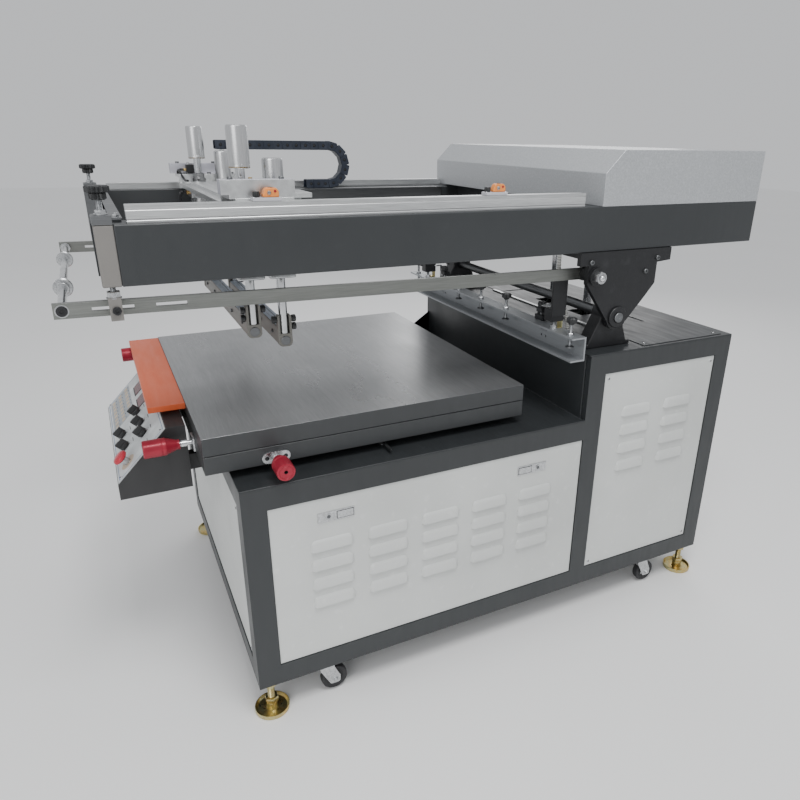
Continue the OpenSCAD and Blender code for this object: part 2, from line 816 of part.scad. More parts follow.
module lift_rods() color("#d2d4d5") bench() mirrored() {
    piston_z = lift_base_z + 210;
    piston_h = 20;
    difference() {
        union() {
            z_cyl(lift_rod_d, piston_z + piston_h - bite, lift_top_z - 24, lift_x, lift_y);
            z_cyl(lift_bore_d - 2 * lift_room, piston_z, piston_z + piston_h, lift_x, lift_y);
            block([lift_x - 16, lift_y - 20, lift_top_z - 30], [lift_x + 16, lift_y + 20, lift_top_z + 20]);
        }
        x_cyl(lift_pin_d + 2 * run, lift_x - 17, lift_x + 17, lift_y, lift_top_z);
    }
}

module front_posts() color("#8b8987") bench() mirrored() {
    lap = 1;
    cap_top = arm_top + post_cap_h;
    difference() {
        union() {
            block([head_w / 2 - post, post_y, arm_z], [head_w / 2, -arm_out, arm_top]);
            block([head_w / 2 - post - lap, post_y - lap, arm_top], [head_w / 2 + lap, -arm_out, cap_top]);
            translate([screw_x, screw_y, cap_top]) cylinder(d = 22, h = 8, $fn = 6);
        }
        z_cyl(screw_d + 2 * run, arm_z - 1, cap_top + 9, screw_x, screw_y);
    }
}

// star knob on the threaded rod that raises a holder bar's front end
module lift_screw(x) {
    z = arm_top + post_cap_h + 27;
    lobes = 6;
    lobe_d = 12;
    hub_h = 13;
    knob_h = 14;
    z_cyl(screw_d, screw_low, z + hub_h, x, screw_y);
    z_cyl(star_d - 15, z, z + hub_h, x, screw_y);
    z_cyl(star_d - 6, z + hub_h - bite, z + hub_h + knob_h, x, screw_y);
    for (a = [0 : 360 / lobes : 359])
        translate([x, screw_y, z + hub_h]) rotate(a) translate([(star_d - lobe_d) / 2, 0, 0])
            cylinder(d = lobe_d, h = knob_h - bite);
}
module lift_screw_right() color("#222426") bench() lift_screw(screw_x);
module lift_screw_left() color("#222426") bench() lift_screw(-screw_x);

// ---------- screen holder ----------

// leans a level drawing of the bars up towards the front, about their pivot
module leaning() {
    translate([0, bar_pivot_y, bar_pivot_z]) rotate([-bar_tilt, 0, 0])
        translate([0, -bar_pivot_y, -bar_pivot_z]) children();
}

module holder_bars() color("#a9acab") bench() {
    slot_h = 8;
    leaning() mirrored() difference() {
        union() {
            block([bar_x, -bar_out, bar_z], [bar_x + bar_t, bar_pivot_y, bar_z + bar_h]);
            x_cyl(bar_h + 8, bar_x, bar_x + bar_t, bar_pivot_y, bar_pivot_z);
        }
        x_cyl(bar_pin_d + 2 * run, bar_x - 1, bar_x + bar_t + 1, bar_pivot_y, bar_pivot_z);
        for (slot = [[-235, -155], [-113, -50]])
            block([bar_x - 1, slot[0], bar_pivot_z - slot_h / 2],
                [bar_x + bar_t + 1, slot[1], bar_pivot_z + slot_h / 2]);
        x_cyl(12, bar_x - 1, bar_x + bar_t + 1, rod_y, bar_pivot_z);
    }
    // hangers under the front posts and their nuts, with room round the lift screws
    hanger_w = 24;
    nut_z = arm_z - 22;
    mirrored() difference() {
        union() {
            block([bar_x + bar_t, screw_y - hanger_w / 2, hanger_low],
                [screw_x + 14, screw_y + hanger_w / 2, nut_z]);
            translate([screw_x, screw_y, nut_z - bite]) cylinder(d = 27, h = 12 + bite, $fn = 6);
        }
        z_cyl(screw_d + 4, hanger_low - 1, arm_z + 1, screw_x, screw_y);
    }
}

module frame_channel() color("#b7bab9") bench() {
    y1 = channel_y + channel_d;
    half = channel_len / 2;
    difference() {
        block([-half, channel_y, channel_z], [half, y1, channel_top]);
        block([-half - 1, channel_y - 1, channel_z + channel_t],
            [half + 1, y1 - channel_t, channel_top - channel_t]);
        for (x = clamp_x)
            z_cyl(clamp_screw_d + 2 * run, channel_top - channel_t - 1, channel_top + 1, x, clamp_y);
        // groups of four holes in the web
        for (x = [-330, 330], dx = [0, 22], dz = [26, 46])
            y_cyl(7, y1 - channel_t - 1, y1 + 1, x + dx, channel_z + dz);
    }
}

module channel_hangers() color("#4c4f50") bench() mirrored() {
    y1 = channel_y + channel_d;
    plate_x = bar_x - 8;
    // plates down the inner faces of the bars, and blocks that stand on the channel
    block([plate_x, channel_y - 4, channel_top + 40], [bar_x, y1 - 4, bar_z + bar_h - 4]);
    block([hanger_x - 30, channel_y, channel_top + 22], [plate_x + bite, y1 - 4, channel_top + 60]);
    z_cyl(12, channel_top, channel_top + 22 + bite, hanger_x - 8, channel_y + 22);
    z_cyl(22, channel_top, channel_top + 9, hanger_x - 8, channel_y + 22);
    // register clamps behind the channel
    block([300, y1 - 14, channel_top], [340, y1 + 8, channel_top + 38]);
    z_cyl(26, channel_top + 38 - bite, channel_top + 58, 320, y1 - 4);
}

module front_cross_rod() color("#d6d8da") bench() leaning() {
    end = bar_x + bar_t + 4;
    x_cyl(18, -bar_x, bar_x, rod_y, bar_pivot_z);
    mirrored() {
        x_cyl(12, bar_x - bite, end, rod_y, bar_pivot_z);
        x_cyl(22, bar_x + bar_t, end, rod_y, bar_pivot_z);
        x_cyl(42, 196, 208, rod_y, bar_pivot_z);
        x_cyl(28, 208 - bite, 222, rod_y, bar_pivot_z);
    }
}

module clamp_screws() color("#232426") bench() for (x = clamp_x) {
    pad_z = channel_top - channel_t - 26;
    knob_z = channel_top + clamp_travel + 8;
    z_cyl(clamp_screw_d, pad_z, knob_z + 6, x, clamp_y);
    z_cyl(24, pad_z - 5, pad_z + 2, x, clamp_y);
    z_cyl(32, knob_z, knob_z + 20, x, clamp_y);
}

// ---------- carriage ----------

module carriage_frame() color("#9a9da0") bench() {
    y1 = plate_y + plate_len;
    plate_top = plate_z + plate_t;
    arch_in = cyl_x + cap_d / 2 + 3;
    arch_out = arch_in + arch_w;
    arch_top = arch_z + arch_t;
    difference() {
        block([-arch_out, plate_y, plate_z], [arch_out, y1, plate_top]);
        for (x = [-cyl_x, cyl_x], y = [squeegee_y, flood_y])
            z_cyl(rod_d + 4, plate_z - 1, plate_top + 1, x, y);
    }
    mirrored() {
        block([arch_in, plate_y, plate_top - bite], [arch_out, y1, arch_z + bite]);
        block([arch_in, plate_y, arch_z], [end_out, y1, arch_top]);
        block([end_in, plate_y - 16, arch_top - bite], [end_out, plate_y + 142, arch_top + 29]);
        // roller blocks that run along the rails
        for (y = [plate_y + 12, plate_y + 102])
            block([end_in + 10, y, arm_top + gap], [rail_x - gap, y + 36, arch_z + bite]);
    }
    // stiffening beam between the two pairs of cylinders
    block([-cyl_x + body_d, plate_y + 20, plate_top - bite], [cyl_x - body_d, y1 - 20, plate_top + 8]);
    // post that holds the drag chain's moving end
    block([chain_x0, chain_moving_y + 16, arch_top - bite],
        [chain_x0 + chain_w, chain_moving_y + 24, chain_top - chain_t - gap]);
}

module air_cylinders() color("#b5b8b9") bench() mirrored() {
    flange = body_d / 2 + 3;
    flange_h = 30;
    for (y = [squeegee_y, flood_y]) difference() {
        union() {
            z_cyl(body_d, body_z, plate_z, cyl_x, y);
            for (z = [body_z, plate_z - flange_h])
                block([cyl_x - flange, y - flange, z], [cyl_x + flange, y + flange, z + flange_h]);
        }
        z_cyl(rod_d + 2 * run, body_z - 1, plate_z + 1, cyl_x, y);
    }
}

// a blade holder: rods with caps, forked end brackets, and two clamping jaws
module blade_holder(y, cap_z, low) {
    jaw_t = 11;
    jaw_h = 46;
    slot = 5;          // half the width of the slot that a blade goes in
    fork_z = low + 34;
    fork = rod_d / 2 + 0.5;
    inner_x = cyl_x - 6;
    outer_x = cyl_x + 12;
    mirrored() {
        z_cyl(rod_d, fork_z, cap_z + bite, cyl_x, y);
        z_cyl(cap_d, cap_z, cap_z + cap_h, cyl_x, y);
        difference() {
            block([inner_x, y - 18, low], [outer_x, y + 18, low + 82]);
            block([inner_x - 1, y - fork, fork_z], [outer_x + 1, y + fork, low + 83]);
        }
        x_cyl(24, outer_x - bite, outer_x + 2, y, low + 16);
    }
    for (s = [-1, 1])
        translate([0, y + s * (slot + jaw_t / 2), low + 4])
            block([-inner_x - bite, -jaw_t / 2, 0], [inner_x + bite, jaw_t / 2, jaw_h]);
    block([-inner_x, y - slot - bite, fork_z], [inner_x, y + slot + bite, low + 4 + jaw_h]);
}

module squeegee_holder() color("#7d8080") bench()
    blade_holder(squeegee_y, cap_rest + stroke, squeegee_z);
module flood_holder() color("#7d8080") bench()
    blade_holder(flood_y, cap_rest, flood_z);

module drag_chain() color("#1b1f26") bench() {
    mid = chain_bottom + chain_r;
    along_x(chain_x0, chain_x0 + chain_w) {
        translate([chain_moving_y, chain_top - chain_t]) square([chain_bend_y - chain_moving_y, chain_t]);
        translate([chain_fixed_y, chain_bottom]) square([chain_bend_y - chain_fixed_y, chain_t]);
        translate([chain_bend_y, mid]) intersection() {
            difference() {
                circle(r = chain_r);
                circle(r = chain_r - chain_t);
            }
            translate([0, -chain_r]) square([chain_r, 2 * chain_r]);
        }
    }
}

function unit(v) = v / norm(v);
function tangent(p, i) = unit(p[min(i + 1, len(p) - 1)] - p[max(i - 1, 0)]);

// a tube swept along a route, with closed ends
module sweep(p, d, sides) {
    n = len(p);
    ring = [for (i = [0 : n - 1])
        let (t = tangent(p, i), u = unit(cross(t, [1, 0, 0])), v = cross(t, u))
        for (k = [0 : sides - 1])
            p[i] + d / 2 * (u * cos(k * 360 / sides) + v * sin(k * 360 / sides))];
    skin = [for (i = [0 : n - 2], k = [0 : sides - 1])
        let (a = i * sides + k, b = i * sides + (k + 1) % sides)
        [a, a + sides, b + sides, b]];
    polyhedron(ring, concat(skin, [[for (k = [0 : sides - 1]) k]],
        [[for (k = [sides - 1 : -1 : 0]) (n - 1) * sides + k]]));
}

module head_loom() color("#e8e8e4") bench() sweep(loom_path, loom_d, loom_sides);

base_frame();
deck_plates();
side_panels();
end_panels();
door_latches();
foot_front_right();
foot_front_left();
foot_rear_right();
foot_rear_left();
caster_fork_front_right();
caster_fork_front_left();
caster_forks_rear();
wheel_front_right();
wheel_front_left();
wheel_rear_right();
wheel_rear_left();
control_box();
control_fascia();
estop_button();
selector_1();
selector_2();
selector_3();
selector_4();
selector_5();
pivot_pedestals();
lift_tubes();
lift_rods();
table_slide_base();
table_carriage();
table_core();
table_top();
guard_ledge();
x_knob();
y_knob_right();
y_knob_left();
knob_brackets();
table_clamp();
arm_right();
arm_left();
head_beams();
rear_cover();
arm_rails();
limit_sensors();
pivot_brackets();
pivot_shaft();
front_posts();
lift_screw_right();
lift_screw_left();
holder_bars();
frame_channel();
channel_hangers();
front_cross_rod();
clamp_screws();
carriage_frame();
air_cylinders();
drag_chain();
squeegee_holder();
flood_holder();
head_loom();
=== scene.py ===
# Flatbed screen printing press with a tilting arm head. Metres, +Y runs from the operator to the pivot.
import json
import math

import bmesh
import bpy
from mathutils import Matrix, Vector

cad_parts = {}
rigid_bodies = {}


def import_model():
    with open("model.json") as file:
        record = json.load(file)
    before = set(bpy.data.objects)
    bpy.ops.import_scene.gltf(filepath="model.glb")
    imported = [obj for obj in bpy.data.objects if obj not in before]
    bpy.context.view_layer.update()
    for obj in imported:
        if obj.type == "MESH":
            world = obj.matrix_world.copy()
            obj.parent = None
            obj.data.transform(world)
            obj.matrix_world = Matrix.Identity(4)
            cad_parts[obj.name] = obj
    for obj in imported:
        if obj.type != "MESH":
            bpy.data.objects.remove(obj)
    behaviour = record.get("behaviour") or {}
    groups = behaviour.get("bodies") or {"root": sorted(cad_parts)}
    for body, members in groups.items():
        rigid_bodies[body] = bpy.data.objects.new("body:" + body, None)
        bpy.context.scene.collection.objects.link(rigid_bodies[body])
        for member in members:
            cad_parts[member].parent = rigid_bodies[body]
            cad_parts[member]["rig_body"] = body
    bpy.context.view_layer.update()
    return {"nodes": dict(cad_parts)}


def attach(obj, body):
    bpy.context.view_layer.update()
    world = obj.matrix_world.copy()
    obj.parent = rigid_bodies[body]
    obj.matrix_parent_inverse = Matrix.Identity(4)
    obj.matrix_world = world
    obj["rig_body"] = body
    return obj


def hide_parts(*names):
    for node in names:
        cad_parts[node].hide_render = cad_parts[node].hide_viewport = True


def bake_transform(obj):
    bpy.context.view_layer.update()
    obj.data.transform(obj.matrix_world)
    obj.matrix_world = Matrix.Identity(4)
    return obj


for leftover in list(bpy.data.objects):
    bpy.data.objects.remove(leftover)
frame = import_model()
nodes = frame["nodes"]
print("frame loaded,", len(nodes), "nodes")

# ---- camera, floor and light ----

view = {"place": (1.9534, -0.8750, 1.4746), "turn": (68.366, -0.921, 62.983), "lens": 30.075,
        "shift": (-0.0496, 0.0024)}
studio = {"floor": 40.0, "floorTone": (0.93, 0.93, 0.925), "world": (0.96, 0.975, 1.0), "worldPower": 0.70}
lamps = [
    {"name": "overheadSoft", "place": (1.9, -0.2, 4.2), "aim": (0.4, 0, 0.7), "size": 1.3, "power": 95},
    {"name": "windowSide", "place": (3.4, -3.2, 2.6), "aim": (0, -0.2, 0.8), "size": 2.4, "power": 60},
    {"name": "backFill", "place": (-3.2, 2.6, 2.8), "aim": (0, 0, 0.9), "size": 2.6, "power": 38},
]


def setCamera():
    data = bpy.data.cameras.new("pressCamera")
    data.lens = view["lens"]
    data.sensor_width = 36
    data.shift_x, data.shift_y = view["shift"]
    data.clip_start, data.clip_end = 0.05, 60
    camera = bpy.data.objects.new("pressCamera", data)
    camera.location = view["place"]
    camera.rotation_euler = [math.radians(a) for a in view["turn"]]
    bpy.context.scene.collection.objects.link(camera)
    bpy.context.scene.camera = camera


def setLamps():
    for lamp in lamps:
        data = bpy.data.lights.new(lamp["name"], "AREA")
        data.energy = lamp["power"]
        data.size = lamp["size"]
        made = bpy.data.objects.new(lamp["name"], data)
        made.location = lamp["place"]
        made.rotation_euler = (Vector(lamp["aim"]) - Vector(lamp["place"])).to_track_quat("-Z", "Y").to_euler()
        bpy.context.scene.collection.objects.link(made)
    world = bpy.data.worlds.new("studioWorld")
    world.use_nodes = True
    world.node_tree.nodes["Background"].inputs["Color"].default_value = (*studio["world"], 1)
    world.node_tree.nodes["Background"].inputs["Strength"].default_value = studio["worldPower"]
    bpy.context.scene.world = world


# ---- shader tools ----

class Wire:  # a node's output that takes part in maths
    def __init__(self, graph, socket):
        self.graph, self.socket = graph, socket

    def maths(self, operation, first, second):
        return self.graph.node("Math", {"operation": operation}, {0: first, 1: second})

    def __add__(self, other):
        return self.maths("ADD", self, other)

    def __mul__(self, other):
        return self.maths("MULTIPLY", self, other)

    __radd__ = __add__
    __rmul__ = __mul__


class Graph:  # one material's node tree
    def __init__(self, name):
        self.material = bpy.data.materials.new(name)
        self.material.use_nodes = True
        self.tree = self.material.node_tree
        self.tree.nodes.clear()
        self.place = self.node("TexCoord", {}, {}, "Object")

    def node(self, kind, settings, sockets, output=0):
        made = self.tree.nodes.new("ShaderNode" + kind)
        for key, value in settings.items():
            if key == "stops":
                for stop, (at, tone) in zip(made.color_ramp.elements, value):
                    stop.position, stop.color = at, (tone, tone, tone, 1)
            else:
                setattr(made, key, value)
        for key, value in sockets.items():
            if isinstance(value, Wire):
                self.tree.links.new(value.socket, made.inputs[key])
            else:
                made.inputs[key].default_value = value
        return Wire(self, made.outputs[output])

    def stretched(self, scale, turn=(0, 0, 0)):
        return self.node("Mapping", {}, {"Vector": self.place, "Scale": scale, "Rotation": turn})

    def noise(self, scale, detail=2.0, place=None, distortion=0.0):
        return self.node("TexNoise", {}, {"Vector": place or self.place, "Scale": scale,
                                          "Detail": detail, "Distortion": distortion})

    def cells(self, scale, feature="F1"):
        return self.node("TexVoronoi", {"feature": feature}, {"Vector": self.place, "Scale": scale})

    def ramp(self, value, low, high, start=0.0, end=1.0):
        return self.node("MapRange", {}, {"Value": value, "From Min": low, "From Max": high,
                                          "To Min": start, "To Max": end})

    def tint(self, share, first, second):
        ends = {0: share, 6: first if isinstance(first, Wire) else (*first, 1),
                7: second if isinstance(second, Wire) else (*second, 1)}
        return self.node("Mix", {"data_type": "RGBA"}, ends, 2)

    def bump(self, height, distance, strength=0.6):
        return self.node("Bump", {}, {"Height": height, "Distance": distance, "Strength": strength})

    def surface(self, **sockets):
        names = {"colour": "Base Color", "roughness": "Roughness", "metallic": "Metallic", "normal": "Normal",
                 "coat": "Coat Weight", "coatRoughness": "Coat Roughness"}
        values = {names[key]: (*value, 1) if isinstance(value, tuple) else value
                  for key, value in sockets.items()}
        shader = self.node("BsdfPrincipled", {}, values)
        out = self.tree.nodes.new("ShaderNodeOutputMaterial")
        self.tree.links.new(shader.socket, out.inputs["Surface"])
        return self.material


def shade(colour, amount):
    return tuple(min(1.0, c * amount) for c in colour)


# ---- finishes ----

paints = {
    "charcoalPaint": {"colour": (0.024, 0.027, 0.029), "roughness": 0.42, "grain": 420, "depth": 0.00022},
    "beamPaint": {"colour": (0.021, 0.024, 0.027), "roughness": 0.66, "grain": 420, "depth": 0.00022},
    "paleEnamel": {"colour": (0.60, 0.615, 0.60), "roughness": 0.46, "grain": 520, "depth": 0.00030},
    "orangePaint": {"colour": (0.62, 0.105, 0.030), "roughness": 0.40, "grain": 300, "depth": 0.00010},
    "taupePaint": {"colour": (0.175, 0.166, 0.155), "roughness": 0.45, "grain": 500, "depth": 0.00012},
    "boxPaint": {"colour": (0.022, 0.022, 0.023), "roughness": 0.48, "grain": 620, "depth": 0.00028},
    "tablePaint": {"colour": (0.032, 0.035, 0.037), "roughness": 0.40, "grain": 360, "depth": 0.00012},
    "doveGrey": {"colour": (0.47, 0.47, 0.50), "roughness": 0.38, "grain": 450, "depth": 0.00010},
}


def enamel(name, colour, roughness, grain, depth):
    g = Graph(name)
    cloud = g.noise(2.2, 3)
    dust = g.noise(38, 4)
    peel = g.noise(grain, 2)
    tone = g.tint(g.ramp(cloud, 0.3, 0.7), shade(colour, 0.90), shade(colour, 1.10))
    tone = g.tint(g.ramp(dust, 0.60, 0.78, 0.0, 0.16), tone, shade(colour, 1.9))
    marks = g.noise(9, 5, g.stretched((1, 6, 1)))
    return g.surface(colour=tone, roughness=g.ramp(marks, 0.3, 0.75, roughness - 0.06, roughness + 0.12),
                     metallic=0.0, normal=g.bump(peel + dust * 0.4, depth), coat=0.12, coatRoughness=0.35)


def hammertone():
    g = Graph("hammertoneSilver")
    blisters = g.cells(260, "SMOOTH_F1")
    ripple = g.noise(330, 3)
    pit = g.ramp(blisters, 0.0, 0.75)
    cloud = g.noise(1.6, 3)
    tone = g.tint(pit, (0.35, 0.365, 0.38), (0.47, 0.485, 0.50))
    tone = g.tint(g.ramp(cloud, 0.3, 0.7, 0.0, 0.22), tone, (0.52, 0.535, 0.55))
    return g.surface(colour=tone, metallic=0.35, roughness=g.ramp(ripple, 0.25, 0.75, 0.30, 0.44),
                     normal=g.bump(pit + ripple * 0.35, 0.00035, 0.6), coat=0.25, coatRoughness=0.2)


def brushed(name, colour, along, roughness, streak=0.16, metallic=1.0, fine=900):
    g = Graph(name)
    squeeze = tuple(0.02 if i == along else 1 for i in range(3))
    lines = g.noise(fine, 4, g.stretched(squeeze))
    bands = g.noise(60, 3, g.stretched(squeeze))
    cloud = g.noise(3.1, 4)
    tone = g.tint(g.ramp(lines + bands * 0.6, 0.6, 1.0), shade(colour, 1 - streak), shade(colour, 1 + streak))
    tone = g.tint(g.ramp(cloud, 0.45, 0.8, 0.0, 0.25), tone, shade(colour, 0.8))
    rough = g.ramp(bands + cloud * 0.5, 0.45, 1.0, roughness - 0.05, roughness + 0.10)
    return g.surface(colour=tone, metallic=metallic, roughness=rough, normal=g.bump(lines, 0.00006, 0.5))


def printingPlate():
    g = Graph("groundTablePlate")
    lines = g.noise(700, 4, g.stretched((0.03, 1, 1)))
    arcs = g.noise(90, 3, g.stretched((0.05, 1, 1), (0, 0, 0.12)))
    stains = g.noise(4.5, 5, None, 0.6)
    wiped = g.noise(1.3, 3, g.stretched((0.4, 1.6, 1)))
    tone = g.tint(g.ramp(lines + arcs * 0.5, 0.5, 1.0), (0.30, 0.305, 0.31), (0.40, 0.405, 0.41))
    tone = g.tint(g.ramp(stains, 0.5, 0.75, 0.0, 0.30), tone, (0.25, 0.25, 0.255))
    tone = g.tint(g.ramp(wiped, 0.5, 0.72, 0.0, 0.3), tone, (0.46, 0.465, 0.47))
    rough = g.ramp(wiped + stains * 0.5, 0.5, 1.1, 0.24, 0.40)
    return g.surface(colour=tone, metallic=0.8, roughness=rough, normal=g.bump(lines, 0.00005, 0.5))


def casting():
    g = Graph("blackCasting")
    sand = g.noise(260, 4)
    lumps = g.noise(55, 3)
    rub = g.noise(22, 5)
    tone = g.tint(g.ramp(rub, 0.60, 0.78, 0.0, 0.5), (0.009, 0.0095, 0.011), (0.040, 0.042, 0.045))
    return g.surface(colour=tone, roughness=g.ramp(rub, 0.35, 0.7, 0.40, 0.58), metallic=0.15,
                     normal=g.bump(sand * 0.5 + lumps, 0.0009, 0.7), coat=0.15, coatRoughness=0.3)


def yellowZinc():
    g = Graph("yellowZinc")
    drift = g.noise(34, 3, None, 0.8)
    spots = g.noise(160, 3)
    tone = g.tint(g.ramp(drift, 0.35, 0.65), (0.60, 0.44, 0.16), (0.52, 0.50, 0.27))
    tone = g.tint(g.ramp(spots, 0.52, 0.75, 0.0, 0.55), tone, (0.46, 0.26, 0.17))
    return g.surface(colour=tone, metallic=1.0, roughness=g.ramp(spots, 0.3, 0.7, 0.24, 0.42),
                     normal=g.bump(spots, 0.0001, 0.4))


def brightZinc():
    g = Graph("brightZinc")
    spangle = g.cells(190)
    film = g.noise(80, 4)
    tone = g.tint(g.ramp(spangle, 0.1, 0.9), (0.44, 0.45, 0.46), (0.62, 0.63, 0.64))
    tone = g.tint(g.ramp(film, 0.55, 0.8, 0.0, 0.4), tone, (0.32, 0.31, 0.29))
    return g.surface(colour=tone, metallic=1.0, roughness=g.ramp(film, 0.3, 0.75, 0.22, 0.42),
                     normal=g.bump(film, 0.00008, 0.5))


def polished():
    g = Graph("polishedSteel")
    smear = g.noise(30, 4)
    scratch = g.noise(900, 3, g.stretched((1, 1, 0.05)))
    tone = g.tint(g.ramp(smear, 0.4, 0.8), (0.68, 0.69, 0.70), (0.52, 0.53, 0.55))
    return g.surface(colour=tone, metallic=1.0, roughness=g.ramp(smear + scratch * 0.3, 0.4, 1.0, 0.09, 0.26),
                     normal=g.bump(scratch, 0.00002, 0.3))


def moulded(name, colour, roughness, metallic=0.0, sheen=1.0, grain=700):
    g = Graph(name)
    grainy = g.noise(grain, 3)
    sheenAndHandling = g.noise(26, 4)
    # the lighter colour where these patches are high is a painted sheen, its strength set by sheen; the same
    # patches also vary the roughness
    tone = g.tint(g.ramp(sheenAndHandling, 0.45, 0.8), colour,
                  tuple(min(1.0, c * 1.35 * sheen + 0.008) for c in colour))
    return g.surface(colour=tone, metallic=metallic,
                     roughness=g.ramp(sheenAndHandling, 0.3, 0.75, roughness - 0.07, roughness + 0.10),
                     normal=g.bump(grainy, 0.00006, 0.5))


def spiralWrap():
    g = Graph("spiralWrap")
    turns = g.node("TexWave", {"wave_type": "BANDS", "bands_direction": "Z"},
                   {"Vector": g.place, "Scale": 42.0, "Distortion": 0.6, "Detail": 1.0})
    grime = g.noise(45, 4)
    tone = g.tint(g.ramp(grime, 0.5, 0.8), (0.74, 0.74, 0.71), (0.42, 0.41, 0.38))
    tone = g.tint(g.ramp(turns, 0.0, 0.25), (0.30, 0.30, 0.29), tone)
    return g.surface(colour=tone, metallic=0.0, roughness=g.ramp(grime, 0.3, 0.7, 0.42, 0.6),
                     normal=g.bump(turns, 0.0008, 0.8))


def studioFloor():
    g = Graph("studioFloor")
    cloud = g.noise(0.7, 2)
    tone = g.tint(g.ramp(cloud, 0.3, 0.7), shade(studio["floorTone"], 0.985), studio["floorTone"])
    return g.surface(colour=tone, metallic=0.0, roughness=g.ramp(cloud, 0.3, 0.7, 0.75, 0.85),
                     normal=g.bump(g.noise(60, 2), 0.0002, 0.2))


finishes = {name: enamel(name, **paint) for name, paint in paints.items()}
finishes.update({
    "hammertone": hammertone(), "plate": printingPlate(), "casting": casting(), "yellowZinc": yellowZinc(),
    "brightZinc": brightZinc(), "polished": polished(), "spiralWrap": spiralWrap(),
    "aluminiumY": brushed("satinAluminiumY", (0.66, 0.67, 0.67), 1, 0.33),
    "aluminiumX": brushed("satinAluminiumX", (0.66, 0.67, 0.67), 0, 0.33),
    "aluminiumZ": brushed("turnedAluminium", (0.63, 0.635, 0.64), 2, 0.27, 0.12),
    "lilacPlate": brushed("lilacPlate", (0.53, 0.53, 0.58), 1, 0.40, 0.06, 0.55),
    "barAluminium": brushed("barAluminium", (0.235, 0.242, 0.228), 1, 0.38, 0.14, 0.9),
    "channelAluminium": brushed("channelAluminium", (0.34, 0.355, 0.37), 0, 0.42, 0.08, 0.7),
    "holderTaupe": brushed("holderTaupe", (0.185, 0.18, 0.165), 0, 0.44, 0.10, 0.6),
    "steelPlate": brushed("groundSteel", (0.50, 0.51, 0.52), 0, 0.30, 0.18),
    "blueGrey": brushed("blueGreyAnodised", (0.33, 0.37, 0.43), 0, 0.36, 0.10, 0.7),
    "darkSteel": brushed("darkSteel", (0.17, 0.175, 0.18), 1, 0.36, 0.15, 0.9),
    "blackPlastic": moulded("blackPlastic", (0.016, 0.017, 0.018), 0.38),
    "hoseRubber": moulded("hoseRubber", (0.012, 0.012, 0.014), 0.30),
    "wheelRubber": moulded("wheelRubber", (0.022, 0.022, 0.024), 0.62, grain=380),
    "chainPlastic": moulded("chainPlastic", (0.014, 0.019, 0.031), 0.42),
    "redAnodised": moulded("redAnodised", (0.30, 0.012, 0.030), 0.33, 0.25),
    "stopRed": moulded("stopRed", (0.50, 0.025, 0.045), 0.26),
    "sensorOrange": moulded("sensorOrange", (0.72, 0.24, 0.05), 0.36),
    "brass": moulded("brassRing", (0.62, 0.43, 0.17), 0.28, 1.0, 0.8),
    "fasciaFilm": moulded("fasciaFilm", (0.55, 0.575, 0.58), 0.42, grain=520),
    "keyField": moulded("keyField", (0.30, 0.33, 0.36), 0.46, grain=520),
    "keyCap": moulded("keyCap", (0.50, 0.41, 0.30), 0.42),
    "borderBlue": moulded("borderBlue", (0.05, 0.12, 0.30), 0.42),
    "displayRed": moulded("displayRed", (0.10, 0.008, 0.014), 0.12, grain=200),
    "whiteMark": moulded("whiteMark", (0.75, 0.75, 0.73), 0.40),
    "seamShadow": moulded("seamShadow", (0.010, 0.010, 0.011), 0.70),
})
print("finishes made,", len(finishes))

# ---- modelling tools ----
# Pieces are modelled in millimetres from the middle of the cabinet's front face and the floor.

press = Vector((0, 660, 0))
upward, rightward = (0, 0, 1), (1, 0, 0)


def settle(obj, body, replaced=()):
    bpy.context.scene.collection.objects.link(obj)
    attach(obj, body)
    if replaced:
        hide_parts(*replaced)
    return obj


def dressed(mesh, name, sharp=38):
    for face in mesh.faces:
        face.smooth = True
    for edge in mesh.edges:
        if len(edge.link_faces) == 2 and edge.calc_face_angle(0) > math.radians(sharp):
            edge.smooth = False
    data = bpy.data.meshes.new(name)
    mesh.to_mesh(data)
    mesh.free()
    return data


def weighted(obj):
    modifier = obj.modifiers.new("evenShading", "WEIGHTED_NORMAL")
    modifier.keep_sharp = True
    return obj


